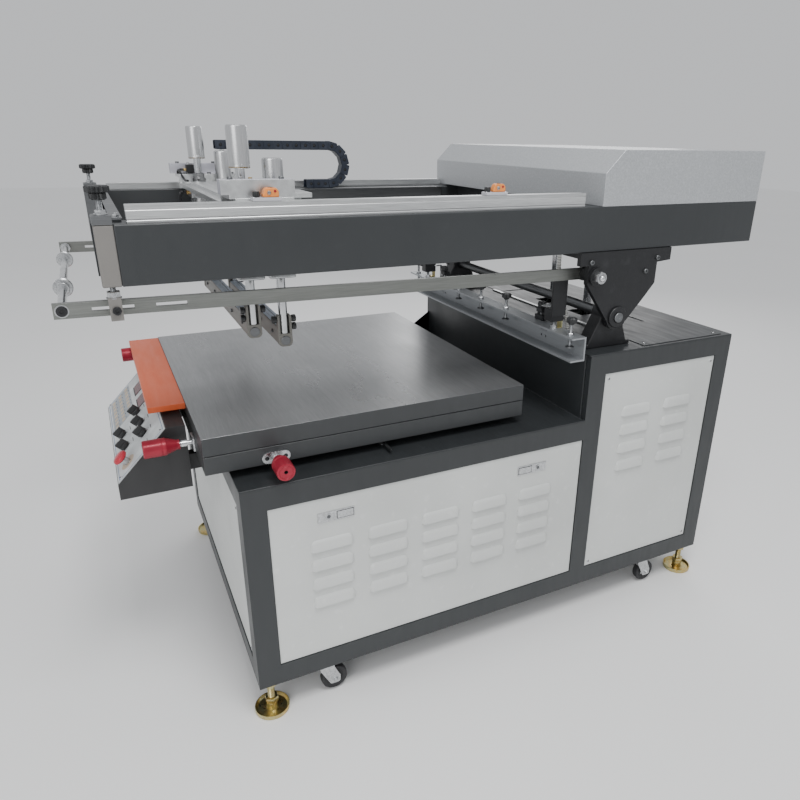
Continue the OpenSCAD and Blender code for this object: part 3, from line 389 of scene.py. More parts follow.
class Build:  # a piece while it is being modelled
    def __init__(self, name, *materials):
        self.name, self.materials = name, materials
        self.mesh = bmesh.new()

    def taken(self, before, material):
        made = [f for f in self.mesh.faces if f not in before]
        for face in made:
            face.material_index = material
        return made

    def box(self, low, high, edge=1.2, material=0, segments=2):
        low, high = Vector(low), Vector(high)
        before = set(self.mesh.faces)
        verts = bmesh.ops.create_cube(self.mesh, size=1.0)["verts"]
        bmesh.ops.scale(self.mesh, vec=high - low, verts=verts)
        bmesh.ops.translate(self.mesh, vec=(low + high) / 2, verts=verts)
        if edge:
            edges = list({e for v in verts for e in v.link_edges})
            width = min(edge, min(high - low) * 0.45)
            bmesh.ops.bevel(self.mesh, geom=edges, offset=width, offset_type="OFFSET", segments=segments,
                            profile=0.5, affect="EDGES", material=-1, clamp_overlap=True)
        return self.taken(before, material)

    def turned(self, profile, at, axis=(0, 0, 1), steps=40, material=0):  # profile of (radius, height)
        before = set(self.mesh.faces)
        turn = Vector((0, 0, 1)).rotation_difference(Vector(axis)).to_matrix().to_4x4()
        verts = [self.mesh.verts.new((r, 0, h)) for r, h in profile]
        edges = [self.mesh.edges.new(pair) for pair in zip(verts, verts[1:])]
        bmesh.ops.spin(self.mesh, geom=verts + edges, cent=(0, 0, 0), axis=(0, 0, 1), dvec=(0, 0, 0),
                       angle=math.tau, steps=steps, use_merge=True, use_duplicate=False)
        faces = self.taken(before, material)
        verts = list({v for f in faces for v in f.verts})
        bmesh.ops.remove_doubles(self.mesh, verts=verts, dist=0.001)
        faces = [f for f in self.mesh.faces if f not in before]
        bmesh.ops.recalc_face_normals(self.mesh, faces=faces)
        verts = list({v for f in faces for v in f.verts})
        bmesh.ops.transform(self.mesh, matrix=Matrix.Translation(at) @ turn, verts=verts)
        return faces

    def ring(self, inner, outer, height, at, axis=(0, 0, 1), steps=40, material=0):
        return self.turned([(inner, 0), (outer, 0), (outer, height), (inner, height)], at, axis, steps,
                           material)

    def rod(self, start, end, diameter, material=0, steps=28, chamfer=0.8):
        start, end = Vector(start), Vector(end)
        length = (end - start).length
        r, c = diameter / 2, min(chamfer, length * 0.3)
        profile = [(0, 0), (r - c, 0), (r, c), (r, length - c), (r - c, length), (0, length)]
        return self.turned(profile, start, end - start, steps, material)

    def thread(self, start, end, diameter, pitch=1.5, material=0, steps=20):
        start, end = Vector(start), Vector(end)
        length = (end - start).length
        turns = max(2, int(length / pitch))
        r, dip = diameter / 2, min(0.9, diameter * 0.08)
        profile = [(0, 0)]
        for i in range(turns):
            profile += [(r - dip, length * i / turns), (r, length * (i + 0.5) / turns)]
        return self.turned(profile + [(r - dip, length), (0, length)], start, end - start, steps, material)

    def prism(self, outline, low, high, axis="x", edge=1.0, material=0, segments=2):
        order = {"x": lambda a, b, c: (c, a, b), "y": lambda a, b, c: (a, c, b),
                 "z": lambda a, b, c: (a, b, c)}[axis]
        before = set(self.mesh.faces)
        face = self.mesh.faces.new([self.mesh.verts.new(order(a, b, low)) for a, b in outline])
        side = bmesh.ops.extrude_face_region(self.mesh, geom=[face])["geom"]
        verts = [v for v in side if isinstance(v, bmesh.types.BMVert)]
        bmesh.ops.translate(self.mesh, vec=order(0, 0, high - low), verts=verts)
        faces = [f for f in self.mesh.faces if f not in before]
        bmesh.ops.recalc_face_normals(self.mesh, faces=faces)
        if edge:
            edges = [e for e in {e for f in faces for e in f.edges} if e.calc_face_angle(0) > 0.5]
            bmesh.ops.bevel(self.mesh, geom=edges, offset=edge, offset_type="OFFSET", segments=segments,
                            profile=0.5, affect="EDGES", material=-1, clamp_overlap=True)
        return self.taken(before, material)

    def hexagon(self, at, axis, across, height, material=0):
        r = across / 2
        return self.turned([(0, 0), (r * 0.94, 0), (r, height * 0.12), (r, height * 0.88), (r * 0.94, height),
                            (0, height)], at, axis, 6, material)

    def panScrew(self, at, axis, head, material=0, shadow=None):
        r, h = head / 2, head * 0.30
        self.turned([(0, h), (r * 0.45, h * 0.95), (r * 0.8, h * 0.65), (r, h * 0.1), (r, 0)], at, axis, 20,
                    material)
        if shadow is not None:
            side = Vector(axis).normalized()
            across = side.orthogonal().normalized()
            for way in (across, side.cross(across)):
                centre = Vector(at) + side * h
                spread = [abs(c) for c in way * r * 0.55 + side.cross(way) * r * 0.1 + side * h * 0.12]
                self.box(centre - Vector(spread), centre + Vector(spread), 0, shadow)

    def starKnob(self, at, axis, diameter, height, lobes=6, material=0):
        faces = self.turned([(0, 0), (diameter * 0.40, 0), (diameter * 0.5, height * 0.14),
                             (diameter * 0.5, height * 0.80), (diameter * 0.42, height * 0.96), (0, height)],
                            (0, 0, 0), (0, 0, 1), lobes * 8, material)
        turn = Vector((0, 0, 1)).rotation_difference(Vector(axis)).to_matrix().to_4x4()
        verts = list({v for f in faces for v in f.verts})
        for v in verts:
            squeeze = 1 - 0.09 * (1 - math.cos(lobes * math.atan2(v.co.y, v.co.x)))
            v.co.x, v.co.y = v.co.x * squeeze, v.co.y * squeeze
        bmesh.ops.transform(self.mesh, matrix=Matrix.Translation(at) @ turn, verts=verts)
        return faces

    def mirrored(self, faces):  # repeats faces on the other side of the middle plane
        geom = bmesh.ops.duplicate(self.mesh, geom=faces)["geom"]
        verts = [v for v in geom if isinstance(v, bmesh.types.BMVert)]
        bmesh.ops.scale(self.mesh, vec=(-1, 1, 1), verts=verts)
        bmesh.ops.reverse_faces(self.mesh, faces=[f for f in geom if isinstance(f, bmesh.types.BMFace)])

    def bothSides(self):
        self.mirrored(list(self.mesh.faces))

    def finished(self):  # the piece in metres and in its place
        bmesh.ops.translate(self.mesh, vec=-press, verts=self.mesh.verts)
        bmesh.ops.scale(self.mesh, vec=(0.001, 0.001, 0.001), verts=self.mesh.verts)
        obj = bpy.data.objects.new(self.name, dressed(self.mesh, self.name))
        for material in self.materials:
            obj.data.materials.append(finishes[material])
        return obj

    def done(self, body, slotName, *replaced):
        return weighted(settle(self.finished(), body, replaced))


def hose(name, points, diameter, material, body, sides=12):
    curve = bpy.data.curves.new(name, "CURVE")
    curve.dimensions = "3D"
    curve.bevel_depth = diameter / 2000
    curve.bevel_resolution = sides // 4
    curve.resolution_u = 8
    curve.use_fill_caps = True
    spline = curve.splines.new("BEZIER")
    spline.bezier_points.add(len(points) - 1)
    for knot, point in zip(spline.bezier_points, points):
        knot.co = (Vector(point) - press) / 1000
        knot.handle_left_type = knot.handle_right_type = "AUTO"
    maker = bpy.data.objects.new(name + "Line", curve)
    bpy.context.scene.collection.objects.link(maker)
    bpy.context.view_layer.update()
    data = bpy.data.meshes.new_from_object(maker.evaluated_get(bpy.context.evaluated_depsgraph_get()))
    bpy.data.objects.remove(maker)
    data.name = name
    obj = bpy.data.objects.new(name, data)
    data.materials.append(finishes[material])
    for face in data.polygons:
        face.use_smooth = True
    return settle(obj, body)


def softened(node, material, edge=1.5, segments=2, second=None, pick=None):
    # the frame's own shape with its long edges rounded, as bent or filed metal is
    mesh = bmesh.new()
    mesh.from_mesh(nodes[node].data)
    bmesh.ops.remove_doubles(mesh, verts=mesh.verts, dist=1e-5)
    bmesh.ops.dissolve_limit(mesh, angle_limit=math.radians(0.6), verts=mesh.verts, edges=mesh.edges,
                             use_dissolve_boundaries=False)
    for face in mesh.faces:
        face.material_index = 1 if pick and pick(face) else 0
    data = dressed(mesh, node + "Shape", 30)
    obj = bpy.data.objects.new(node + "Shape", data)
    for finish in (material, second) if second else (material,):
        data.materials.append(finishes[finish])
    settle(obj, nodes[node]["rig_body"], [node])
    rounding = obj.modifiers.new("roundedEdges", "BEVEL")
    rounding.width = edge / 1000
    rounding.segments = segments
    rounding.limit_method = "ANGLE"
    rounding.angle_limit = math.radians(35)
    rounding.miter_outer = "MITER_ARC"
    return weighted(obj)


# ---- cabinet ----

softened("base_frame", "charcoalPaint", 2)
softened("deck_plates", "charcoalPaint", 1.2)

louvre = {"length": 116, "height": 31, "out": 8.4, "corner": 15}
panels = [
    {"y": (61.5, 1005.5), "z": (166.5, 634.5), "columns": [218 + 157 * i for i in range(5)],
     "rows": [331 + 57 * j for j in range(4)], "screws": False},
    {"y": (1068.5, 1513.5), "z": (166.5, 835.5), "columns": [1207, 1377],
     "rows": [518 + 62 * j for j in range(4)], "screws": True},
]


def pressLouvre(build, x, y, z, side):  # a half-round blister, open along its lower edge
    before = set(build.mesh.faces)
    made = bmesh.ops.create_grid(build.mesh, x_segments=22, y_segments=10, size=0.5)["verts"]
    half, corner, tall = louvre["length"] / 2, louvre["corner"], louvre["height"]
    for v in made:
        u, t = v.co.x * 2, 0.5 - v.co.y
        across = abs(u) * half
        bend = max(0.0, (across - half + corner) / corner)
        top = tall - corner * (1 - math.sqrt(max(0.0, 1 - bend * bend)))
        down = 1 if t > 0.99 else t
        rise = math.sqrt(max(0.0, 1 - (1 - min(1, down / 0.9)) ** 2))
        ends = math.sqrt(max(0.0, 1 - bend ** 2.4))
        out = 0 if t > 0.99 else louvre["out"] * rise * ends
        v.co = (x + side * out, y + u * half, z - tall / 2 + top * (1 - min(1, down / 0.9)))
    faces = build.taken(before, 0)
    for face in faces:
        if all(v.co.z < z - tall / 2 + 0.1 for v in face.verts):
            face.material_index = 1
    bmesh.ops.recalc_face_normals(build.mesh, faces=faces)
    if sum(f.normal.x * side for f in faces) < 0:
        bmesh.ops.reverse_faces(build.mesh, faces=faces)


sides = Build("ventedPanels", "paleEnamel", "seamShadow", "brightZinc")
for panel in panels:
    for side in (1, -1):
        near, far = sorted((side * 530, side * 528))
        sides.box((near, panel["y"][0], panel["z"][0]), (far, panel["y"][1], panel["z"][1]), 0.7)
        for y in panel["columns"]:
            for z in panel["rows"]:
                pressLouvre(sides, side * 530, y, z, side)
        if panel["screws"]:
            for y in (panel["y"][0] + 14, panel["y"][1] - 14):
                for z in (panel["z"][0] + 16, panel["z"][1] - 16):
                    sides.panScrew((side * 530, y, z), (side, 0, 0), 9, 2, 1)
sides.done("base", "panel_paint", "side_panels")

latches = Build("doorLatches", "brightZinc", "seamShadow", "darkSteel")
for y, key in ((232, -1), (828, 1)):
    before = set(latches.mesh.faces)
    latches.box((530, y - 49, 566), (532.4, y + 49, 594), 0.6)
    latches.box((532.2, y - key * 24 - 23, 569), (532.6, y - key * 24 + 23, 591), 0, 1)
    latches.box((532.2, y - key * 24 - 21.5, 570.5), (533.6, y - key * 24 + 21.5, 589.5), 0.7)
    latches.turned([(9, 0), (9, 1.2), (7.8, 1.8), (7, 1.2), (0, 1.2)], (532.1, y + key * 20, 580), rightward,
                   28)
    latches.turned([(5.4, 0), (5.2, 0.8), (0, 0.8)], (532.9, y + key * 20, 580), rightward, 20, 2)
    latches.box((533.5, y + key * 20 - 0.8, 576.5), (533.8, y + key * 20 + 0.8, 583.5), 0, 1)
    latches.mirrored([f for f in latches.mesh.faces if f not in before])
latches.done("base", "bright_zinc", "door_latches")

ends = Build("endPanels", "paleEnamel", "seamShadow", "brightZinc")
for y, out, top in ((4, -1, 634.5), (1571, 1, 835.5)):
    ends.box((-471.5, y - 1, 166.5), (471.5, y + 1, top), 0.7)
    for x in (-455, 455):
        for z in (184, top - 17.5):
            ends.panScrew((x, y + out, z), (0, out, 0), 9, 2, 1)
ends.done("base", "panel_paint", "end_panels")

foot = {"disc": 94, "stem": 20, "nut": 34}
for end, y in (("front", 34), ("rear", 1541)):
    for side, x in (("right", 500), ("left", -500)):
        r = foot["disc"] / 2
        leg = Build("levellingFoot_%s_%s" % (end, side), "yellowZinc", "darkSteel")
        leg.turned([(0, 0.3), (r - 5, 0), (r - 1.6, 1.2), (r - 0.4, 4), (r, 12.5), (r - 0.8, 14),
                    (r - 2.2, 13.4), (r - 3.4, 10), (r - 7, 5.4), (r * 0.5, 4.2), (17, 5), (15.5, 8),
                    (15, 24), (13, 27), (10.5, 27.6), (0, 27.6)], (x, y, 0), upward, 56)
        leg.thread((x, y, 26), (x, y, 150), foot["stem"] - 0.6, 2.5)
        leg.hexagon((x, y, 28), upward, foot["nut"] * 1.12, 15)
        leg.hexagon((x, y, 82), upward, foot["nut"] * 1.12, 14)
        leg.turned([(10, 0), (19, 0), (19.5, 0.6), (19.5, 1.9), (10, 2)], (x, y, 96.4), upward, 32)
        leg.done("foot_%s_%s" % (end, side), "yellow_zinc", "foot_%s_%s" % (end, side))


def casterFork(build, x, y):
    build.box((x - 25, y - 24, 100.6), (x + 25, y + 24, 104.4), 1)
    for sx in (-17, 17):
        for sy in (-17, 17):
            build.hexagon((x + sx, y + sy, 97.4), upward, 8, 3.2)
    build.turned([(0, 0), (20, 0), (22, 2), (22, 6), (19, 9), (0, 9)], (x, y, 91.8), upward, 40)
    cheek = [(y - 19, 92), (y - 20, 84), (y + 6, 33), (y + 10, 29.8), (y + 30, 29.8), (y + 36, 34),
             (y + 36.5, 50), (y + 21, 86), (y + 20, 92)]
    for sx in (-1, 1):
        low, high = sorted((x + sx * 17.0, x + sx * 19.6))
        build.prism(cheek, low, high, "x", 0.7)
        build.hexagon((x + sx * 19.4, y + 22, 41.5), (sx, 0, 0), 12.6, 4.6)
    build.box((x - 19.4, y - 20.5, 80), (x + 19.4, y - 17.5, 92), 1)
    build.rod((x - 19, y + 22, 41.5), (x + 19, y + 22, 41.5), 8, 1)


for side, x in (("right", 500), ("left", -500)):
    fork = Build("swivelFork_" + side, "brightZinc", "darkSteel")
    casterFork(fork, x, 190)
    fork.done("caster_front_" + side, "bright_zinc", "caster_fork_front_" + side)
forks = Build("rearForks", "brightZinc", "darkSteel")
casterFork(forks, 500, 1348)
casterFork(forks, -500, 1348)
forks.done("base", "bright_zinc", "caster_forks_rear")

for end, y in (("front", 212), ("rear", 1370)):
    for side, x in (("right", 500), ("left", -500)):
        wheel = Build("casterWheel_%s_%s" % (end, side), "wheelRubber", "brightZinc", "casting")
        wheel.turned([(23, 8.6), (30, 9.4), (34.5, 11.4), (36.6, 9.6), (37.5, 5), (37.5, -5), (36.6, -9.6),
                      (34.5, -11.4), (30, -9.4), (23, -8.6)], (x, y, 41.5), rightward, 48)
        for way in (1, -1):
            wheel.turned([(4.2, 13.4), (8, 13.4), (9, 12.4), (9.6, 8.2), (21, 6.6), (23.4, 8.8), (23.4, 0)],
                         (x, y, 41.5), (way, 0, 0), 40, 2)
            for i in range(5):
                angle = math.tau * i / 5
                centre = Vector((x + way * 7.6, y + 15 * math.cos(angle), 41.5 + 15 * math.sin(angle)))
                wheel.turned([(3.2, 0), (3.0, 0.7), (0, 0.7)], centre, (way, 0, 0), 14, 1)
        wheel.done("wheel_%s_%s" % (end, side), "wheel_rubber", "wheel_%s_%s" % (end, side))
print("cabinet made")

# ---- control desk ----

desk = {"slope": 45.87, "foot": (0, -249, 653),
        "selectors": [(13, 112), (105, 116), (180, 116), (51, 48), (137, 50)],
        "stop": (228, 46)}
deskUp = Vector((0, math.cos(math.radians(desk["slope"])), math.sin(math.radians(desk["slope"]))))
deskOut = Vector((0, -deskUp.z, deskUp.y))


def onDesk(x, up, out=0.0):
    return Vector((x, 0, 0)) + Vector(desk["foot"]) + deskUp * up + deskOut * out


def deskPlate(build, x, up, wide, tall, out, thick, edge, material):  # a plate lying on the sloping face
    before = set(build.mesh.faces)
    build.box((-wide / 2, -tall / 2, 0), (wide / 2, tall / 2, thick), edge, material, 1 if edge < 0.3 else 2)
    verts = list({v for f in build.mesh.faces if f not in before for v in f.verts})
    turn = Matrix.Rotation(math.radians(desk["slope"]), 4, "X")
    bmesh.ops.transform(build.mesh, matrix=Matrix.Translation(onDesk(x, up, out)) @ turn, verts=verts)


softened("control_box", "boxPaint", 1.5)
fascia = Build("deskFascia", "fasciaFilm", "borderBlue", "keyField", "keyCap", "displayRed", "seamShadow",
               "brightZinc", "whiteMark")
deskPlate(fascia, 0, 93, 561, 179, 0, 1.7, 0.4, 0)
for x, wide in ((-272, 1.6), (272, 1.6)):
    deskPlate(fascia, x, 93, wide, 166, 1.7, 0.15, 0, 1)
for up in (10, 176):
    deskPlate(fascia, 0, up, 545.6, 1.6, 1.7, 0.15, 0, 1)
deskPlate(fascia, -149, 59, 228, 84, 1.7, 0.12, 0, 2)
for row in range(3):
    for column in range(8):
        deskPlate(fascia, -247 + 28 * column, 30 + 28 * row, 17, 12.5, 1.75, 0.65, 0.3, 3)
        deskPlate(fascia, -247 + 28 * column, 40.4 + 28 * row, 12, 1.4, 1.7, 0.15, 0, 5)
for x in (-155, -45):
    deskPlate(fascia, x, 134, 78, 36, 1.7, 0.35, 0.2, 5)
    deskPlate(fascia, x, 134, 70, 28, 1.9, 0.9, 0.4, 4)
    deskPlate(fascia, x, 158, 46, 2, 1.7, 0.15, 0, 5)
for x, up in desk["selectors"]:
    for i in range(7):
        angle = math.radians(-60 + 20 * i)
        deskPlate(fascia, x + 20 * math.sin(angle), up + 20 * math.cos(angle), 1.3, 1.3, 1.7, 0.14, 0, 5)
    deskPlate(fascia, x, up + 27, 24, 2, 1.7, 0.14, 0, 5)
    fascia.turned([(11, 0), (15, 0), (15.4, 0.8), (14.6, 1.6), (11, 1.8)], onDesk(x, up, 1.6), deskOut, 32, 6)
fascia.turned([(11, 0), (23, 0), (23, 0.2), (11, 0.3)], onDesk(*desk["stop"], 1.65), deskOut, 40, 3)
for x in (-268, 268):
    for up in (16, 170):
        fascia.panScrew(onDesk(x, up, 1.6), deskOut, 8, 6, 5)
for row in range(3):
    deskPlate(fascia, 240, 100 + 11 * row, 34, 1.5, 1.7, 0.14, 0, 5)
fascia.done("base", "fascia_film", "control_fascia")

for number, (x, up) in enumerate(desk["selectors"], 1):
    turnKnob = Build("turnSwitch%d" % number, "blackPlastic", "whiteMark", "brightZinc")
    turnKnob.turned([(9.5, 0), (9.5, 3.4), (13.6, 3.8), (14.2, 5), (13.8, 10.5), (12.6, 12), (0, 12.4)],
                    onDesk(x, up, 2.1), deskOut, 40)
    before = set(turnKnob.mesh.faces)
    turnKnob.box((-4.6, -13.4, 0), (4.6, 13.4, 15.5), 1.8, 0, 3)
    verts = list({v for f in turnKnob.mesh.faces if f not in before for v in f.verts})
    for v in verts:
        v.co.x *= 1.3 - v.co.z * 0.03
    bmesh.ops.transform(turnKnob.mesh, matrix=Matrix.Translation(onDesk(x, up, 12.5)) @
                        Matrix.Rotation(math.radians(desk["slope"]), 4, "X"), verts=verts)
    deskPlate(turnKnob, x, up + 6.5, 1.6, 10, 27.9, 0.35, 0, 1)
    turnKnob.done("selector_%d" % number, "black_plastic", "selector_%d" % number)

mushroom = Build("stopMushroom", "stopRed", "brightZinc", "whiteMark")
mushroom.ring(0, 10.2, 30, onDesk(*desk["stop"], -14), deskOut, 40, 1)
mushroom.turned([(0, 20), (13, 20.6), (16, 21.5), (19.5, 24.5), (20, 28), (19.4, 31.2), (16.6, 33.8),
                 (11, 35.4), (0, 36)], onDesk(*desk["stop"], -14 + 10.8), deskOut, 48)
mushroom.done("stop_button", "stop_red", "estop_button")
print("control desk made")

# ---- table ----

softened("table_top", "tablePaint", 1.4, 2, "plate",
         lambda f: f.normal.z > 0.9 and f.calc_center_median().z > 0.817)
softened("table_core", "tablePaint", 1.4)
softened("guard_ledge", "orangePaint", 1.6, 3)
softened("table_slide_base", "steelPlate", 0.6)
softened("table_carriage", "brightZinc", 0.8)

grip = {"diameter": 45, "spindle": 12, "hole": 9}


def gripProfile(length, cone, neck):  # from the neck's end out to the flat face
    r = grip["diameter"] / 2
    groove = [(r, cone + 9), (r - 0.8, cone + 9.6), (r - 0.8, cone + 11), (r, cone + 11.6)]
    face = [(r, length - 2.4), (r - 0.8, length - 0.7), (r - 2.6, length), (r - 5.2, length),
            (r - 5.8, length - 0.8), (r - 6.6, length - 0.8), (r - 7.2, length),
            (grip["hole"] / 2 + 2, length), (grip["hole"] / 2, length - 1.4)]
    return [(0, 0), (neck / 2, 0), (neck / 2 + 0.8, 0.8), (neck / 2 + 0.8, 8), (r - 1.2, cone),
            (r, cone + 1.6)] + \
        groove + face


sideKnobAt = (107, 742)

sideKnob = Build("sideKnob", "redAnodised", "polished", "seamShadow")
sideKnob.turned(gripProfile(68, 16, 30), (494, *sideKnobAt), rightward, 64)
sideKnob.turned([(grip["hole"] / 2, 0), (grip["hole"] / 2, -10), (0, -10)], (562 - 1.4, *sideKnobAt),
                rightward, 32, 2)
sideKnob.turned([(0, 0), (6, 0), (6, 7), (8, 7.6), (10, 8.4), (10, 27.6)], (466.5, *sideKnobAt), rightward,
                40, 1)
sideKnob.done("x_knob", "knob_red", "x_knob")

for side, x, z in (("right", 318, 752), ("left", -440, 775)):
    frontKnob = Build("frontKnob_" + side, "redAnodised", "polished", "seamShadow")
    frontKnob.turned(gripProfile(86, 32, 24), (x, -96, z), (0, -1, 0), 64)
    frontKnob.turned([(grip["hole"] / 2, 0), (grip["hole"] / 2, -10), (0, -10)], (x, -182 + 1.4, z),
                     (0, -1, 0), 32, 2)
    frontKnob.turned([(0, 0), (6, 0), (6, 18), (9, 18.6), (9, 32), (7.6, 33.4), (7.6, 36)], (x, -61.4, z),
                     (0, -1, 0), 40, 1)
    frontKnob.done("y_knob_" + side, "knob_red", "y_knob_" + side)

flanges = Build("knobFlanges", "brightZinc", "hoseRubber", "seamShadow")
oval = []
for i in range(48):
    angle = math.tau * i / 48
    oval.append((107 + 15 * math.cos(angle) + (20 if math.cos(angle) > 0 else -20),
                 742 + 15 * math.sin(angle)))
flanges.prism(oval, 466, 472, "x", 1.2)
flanges.turned([(6.4, 0), (13, 0), (13.6, 0.7), (13.4, 1.6), (6.4, 1.8)], (472, *sideKnobAt), rightward, 36)
for y in (84, 130):
    flanges.turned([(5.4, 0), (5.4, 0.25), (0, 0.25)], (472, y, 742), rightward, 28, 2)
    flanges.turned([(4.6, 0), (4.6, 1.1), (4.0, 1.5), (2.4, 1.5), (2.2, 0.7), (0, 0.7)], (472, y, 742),
                   rightward, 24, 1)
for x, z in ((318, 752), (-440, 775)):
    flanges.box((x - 22, -67, z - 18), (x + 22, -61, z + 18), 1.4)
    for sx in (-15, 15):
        for sz in (-11, 11):
            flanges.turned([(3.6, 0), (3.6, 1.6), (3.1, 2), (1.8, 2), (1.7, 1), (0, 1)],
                           (x + sx, -67, z + sz), (0, -1, 0), 20, 1)
flanges.done("table_x", "bright_zinc", "knob_brackets")

lever = Build("clampLever", "blackPlastic", "brightZinc")
lever.thread((430, 400, 700.4), (430, 400, 723.4), 11.6, 1.6, 1)
lever.turned([(0, 0), (9.5, 0), (11, 1.2), (11, 9), (9, 11.6), (6, 12), (0, 12)], (430, 400, 704.2), upward,
             36)
lever.prism([(436, 396), (436, 404), (470, 404.4), (490, 403.4), (497, 402), (499.6, 400), (497, 398),
             (490, 396.6), (470, 395.6)], 707.4, 713.6, "z", 2.2, 0, 3)
lever.done("clamp_lever", "black_plastic", "table_clamp")
print("table made")

# ---- head ----

softened("arm_right", "charcoalPaint", 3, 3)
softened("arm_left", "charcoalPaint", 3, 3)
softened("head_beams", "beamPaint", 3, 3)
softened("rear_cover", "hammertone", 3, 3)

strip = Build("frontStrip", "darkSteel", "brightZinc")
strip.prism([(-430, -175), (430, -175), (404, -151), (-404, -151)], 1307, 1310, "z", 0.6)
for x in (-394, 394):
    strip.turned([(4.4, 0), (9, 0), (9.3, 0.4), (9.3, 1.3), (4.4, 1.4)], (x, -162, 1310), upward, 28, 1)
    strip.hexagon((x, -162, 1311.4), upward, 13, 5.4, 1)
    strip.turned([(4, 0), (4, 2.6), (3.2, 3.4), (0, 3.4)], (x, -162, 1316.4), upward, 20, 1)
strip.done("head", "frame_paint")

armEnds = Build("armEndCaps", "blackPlastic")
armEnds.box((421, 1619, 1192), (491, 1623.4, 1302), 1.2)
for z in (1215, 1247, 1279):
    armEnds.box((432, 1623.2, z - 2), (480, 1624, z + 2), 0.3)
armEnds.bothSides()
armEnds.done("head", "frame_paint")

postAt = (478, -191)  # middle of the right front post and its lift screw

posts = Build("frontPosts", "taupePaint", "darkSteel", "brightZinc")
posts.box((460, -209, 1187), (496, -173, 1307), 3.2, 0, 3)
posts.box((459, -210, 1307.2), (497, -173, 1325.6), 1.8, 1)
posts.turned([(7, 0), (12.6, 0), (13, 0.5), (13, 2), (7, 2.2)], (*postAt, 1325.6), upward, 32, 2)
posts.hexagon((*postAt, 1327.6), upward, 22, 6.3, 2)
posts.bothSides()
posts.done("head", "bright_zinc", "front_posts")

for side, x in (("right", postAt[0]), ("left", -postAt[0])):
    star = Build("liftScrew_" + side, "brightZinc", "blackPlastic")
    star.thread((x, postAt[1], 1127), (x, postAt[1], 1356), 11.8, 1.75)
    star.starKnob((x, postAt[1], 1353), upward, 31, 14, 12, 1)
    star.starKnob((x, postAt[1], 1366), upward, 45.8, 14, 14, 1)
    star.done("lift_screw_" + side, "black_plastic", "lift_screw_" + side)

rails = Build("armRails", "aluminiumY", "darkSteel")
rails.prism([(451, 1307), (481, 1307), (481, 1311.5), (480.2, 1312.2), (480.2, 1313.8), (481, 1314.5),
             (481, 1331), (480.2, 1331.7), (480.2, 1333.3), (481, 1334), (481, 1342), (451, 1342),
             (451, 1321), (455, 1321), (455, 1315), (451, 1315)], -147, 975, "y", 0.5)
rails.prism([(-481, 1307), (-451, 1307), (-451, 1325), (-462, 1325), (-462, 1321), (-470, 1321), (-470, 1325),
             (-481, 1325)], -147, 1015, "y", 0.6)
rails.prism([(-416, 1267), (-413, 1267), (-413, 1301), (-362, 1301), (-362, 1304), (-416, 1304)], 300, 1000,
            "y", 0.5, 1)
rails.done("head", "bare_aluminium", "arm_rails")

sensors = Build("limitSensors", "sensorOrange", "doveGrey", "blackPlastic", "brightZinc", "seamShadow",
                "redAnodised")
for y in (140, 708):
    sensors.box((454, y - 40, 1342.2), (480, y + 22, 1349.6), 1.4, 1)
    sensors.prism([(y - 17.5, 1349.8), (y + 17.5, 1349.8), (y + 17.5, 1362), (y + 12, 1368.6),
                   (y - 8, 1369.6), (y - 13.5, 1366), (y - 17.5, 1356)], 458.5, 475.5, "x", 2.2, 0, 3)
    sensors.box((462, y - 5, 1369.2), (472, y + 5, 1369.9), 0.2, 4)
    sensors.turned([(0, 2.4), (3.6, 2.2), (4.4, 1.4), (4.6, 0)], (475.2, y - 4, 1359), rightward, 24, 3)
    sensors.box((477.1, y - 7.6, 1358.4), (477.8, y - 0.4, 1359.6), 0, 4)
    sensors.turned([(0, 1.6), (2.4, 1.4), (3, 0)], (475.2, y + 9, 1362), rightward, 16, 5)
    sensors.starKnob((467, y - 30, 1350), upward, 16, 12, 9, 2)
    for sy in (-37, 18):
        sensors.panScrew((474, y + sy, 1349.6), upward, 5, 3, 4)
sensors.done("head", "sensor_orange", "limit_sensors")
print("head made")

# ---- pivots ----

softened("pivot_brackets", "casting", 3, 3)
softened("pivot_pedestals", "casting", 3, 3)
pivotLine = (1112, 996)

pivots = Build("pivotFittings", "casting", "brightZinc", "polished", "darkSteel")
pivots.turned([(15.6, 0), (31, 0), (31, 5), (29, 7), (16.4, 7), (15.6, 6)], (500, *pivotLine), rightward, 56)
pivots.turned([(9, 0), (15.5, 0), (16, 0.6), (16, 2.6), (9, 2.8)], (524, 1020, 1120), rightward, 36, 1)
pivots.hexagon((510, 1020, 1120), rightward, 36, 14, 1)
pivots.turned([(5, 0), (8, 2), (9.4, 5), (8, 8.6), (5, 10.6), (0, 11.2)], (524, 1020, 1120), rightward, 32, 2)
for y in (990, 1040, 1215, 1270):
    pivots.hexagon((450, y, 1165.4), upward, 17, 6, 1)
    pivots.ring(4, 11, 1.4, (450, y, 1169.8), upward, 28, 1)
for y, z in ((1000, 1160), (1240, 1160), (1200, 1124)):
    pivots.turned([(7, 0), (7, 4.6), (6.2, 5.6), (3.6, 5.6), (3.4, 3), (0, 3)], (500, y, z), rightward, 24, 3)
pivots.bothSides()
pivots.done("head", "black_castings")

anchors = Build("pedestalBolts", "brightZinc", "darkSteel")
for y in (1026, 1178):
    anchors.turned([(5, 0), (12, 0), (12.3, 0.5), (12.3, 1.8), (5, 2)], (414, y, 913), upward, 28)
    anchors.hexagon((414, y, 915), upward, 19, 8)
anchors.bothSides()
anchors.done("base", "bright_zinc")

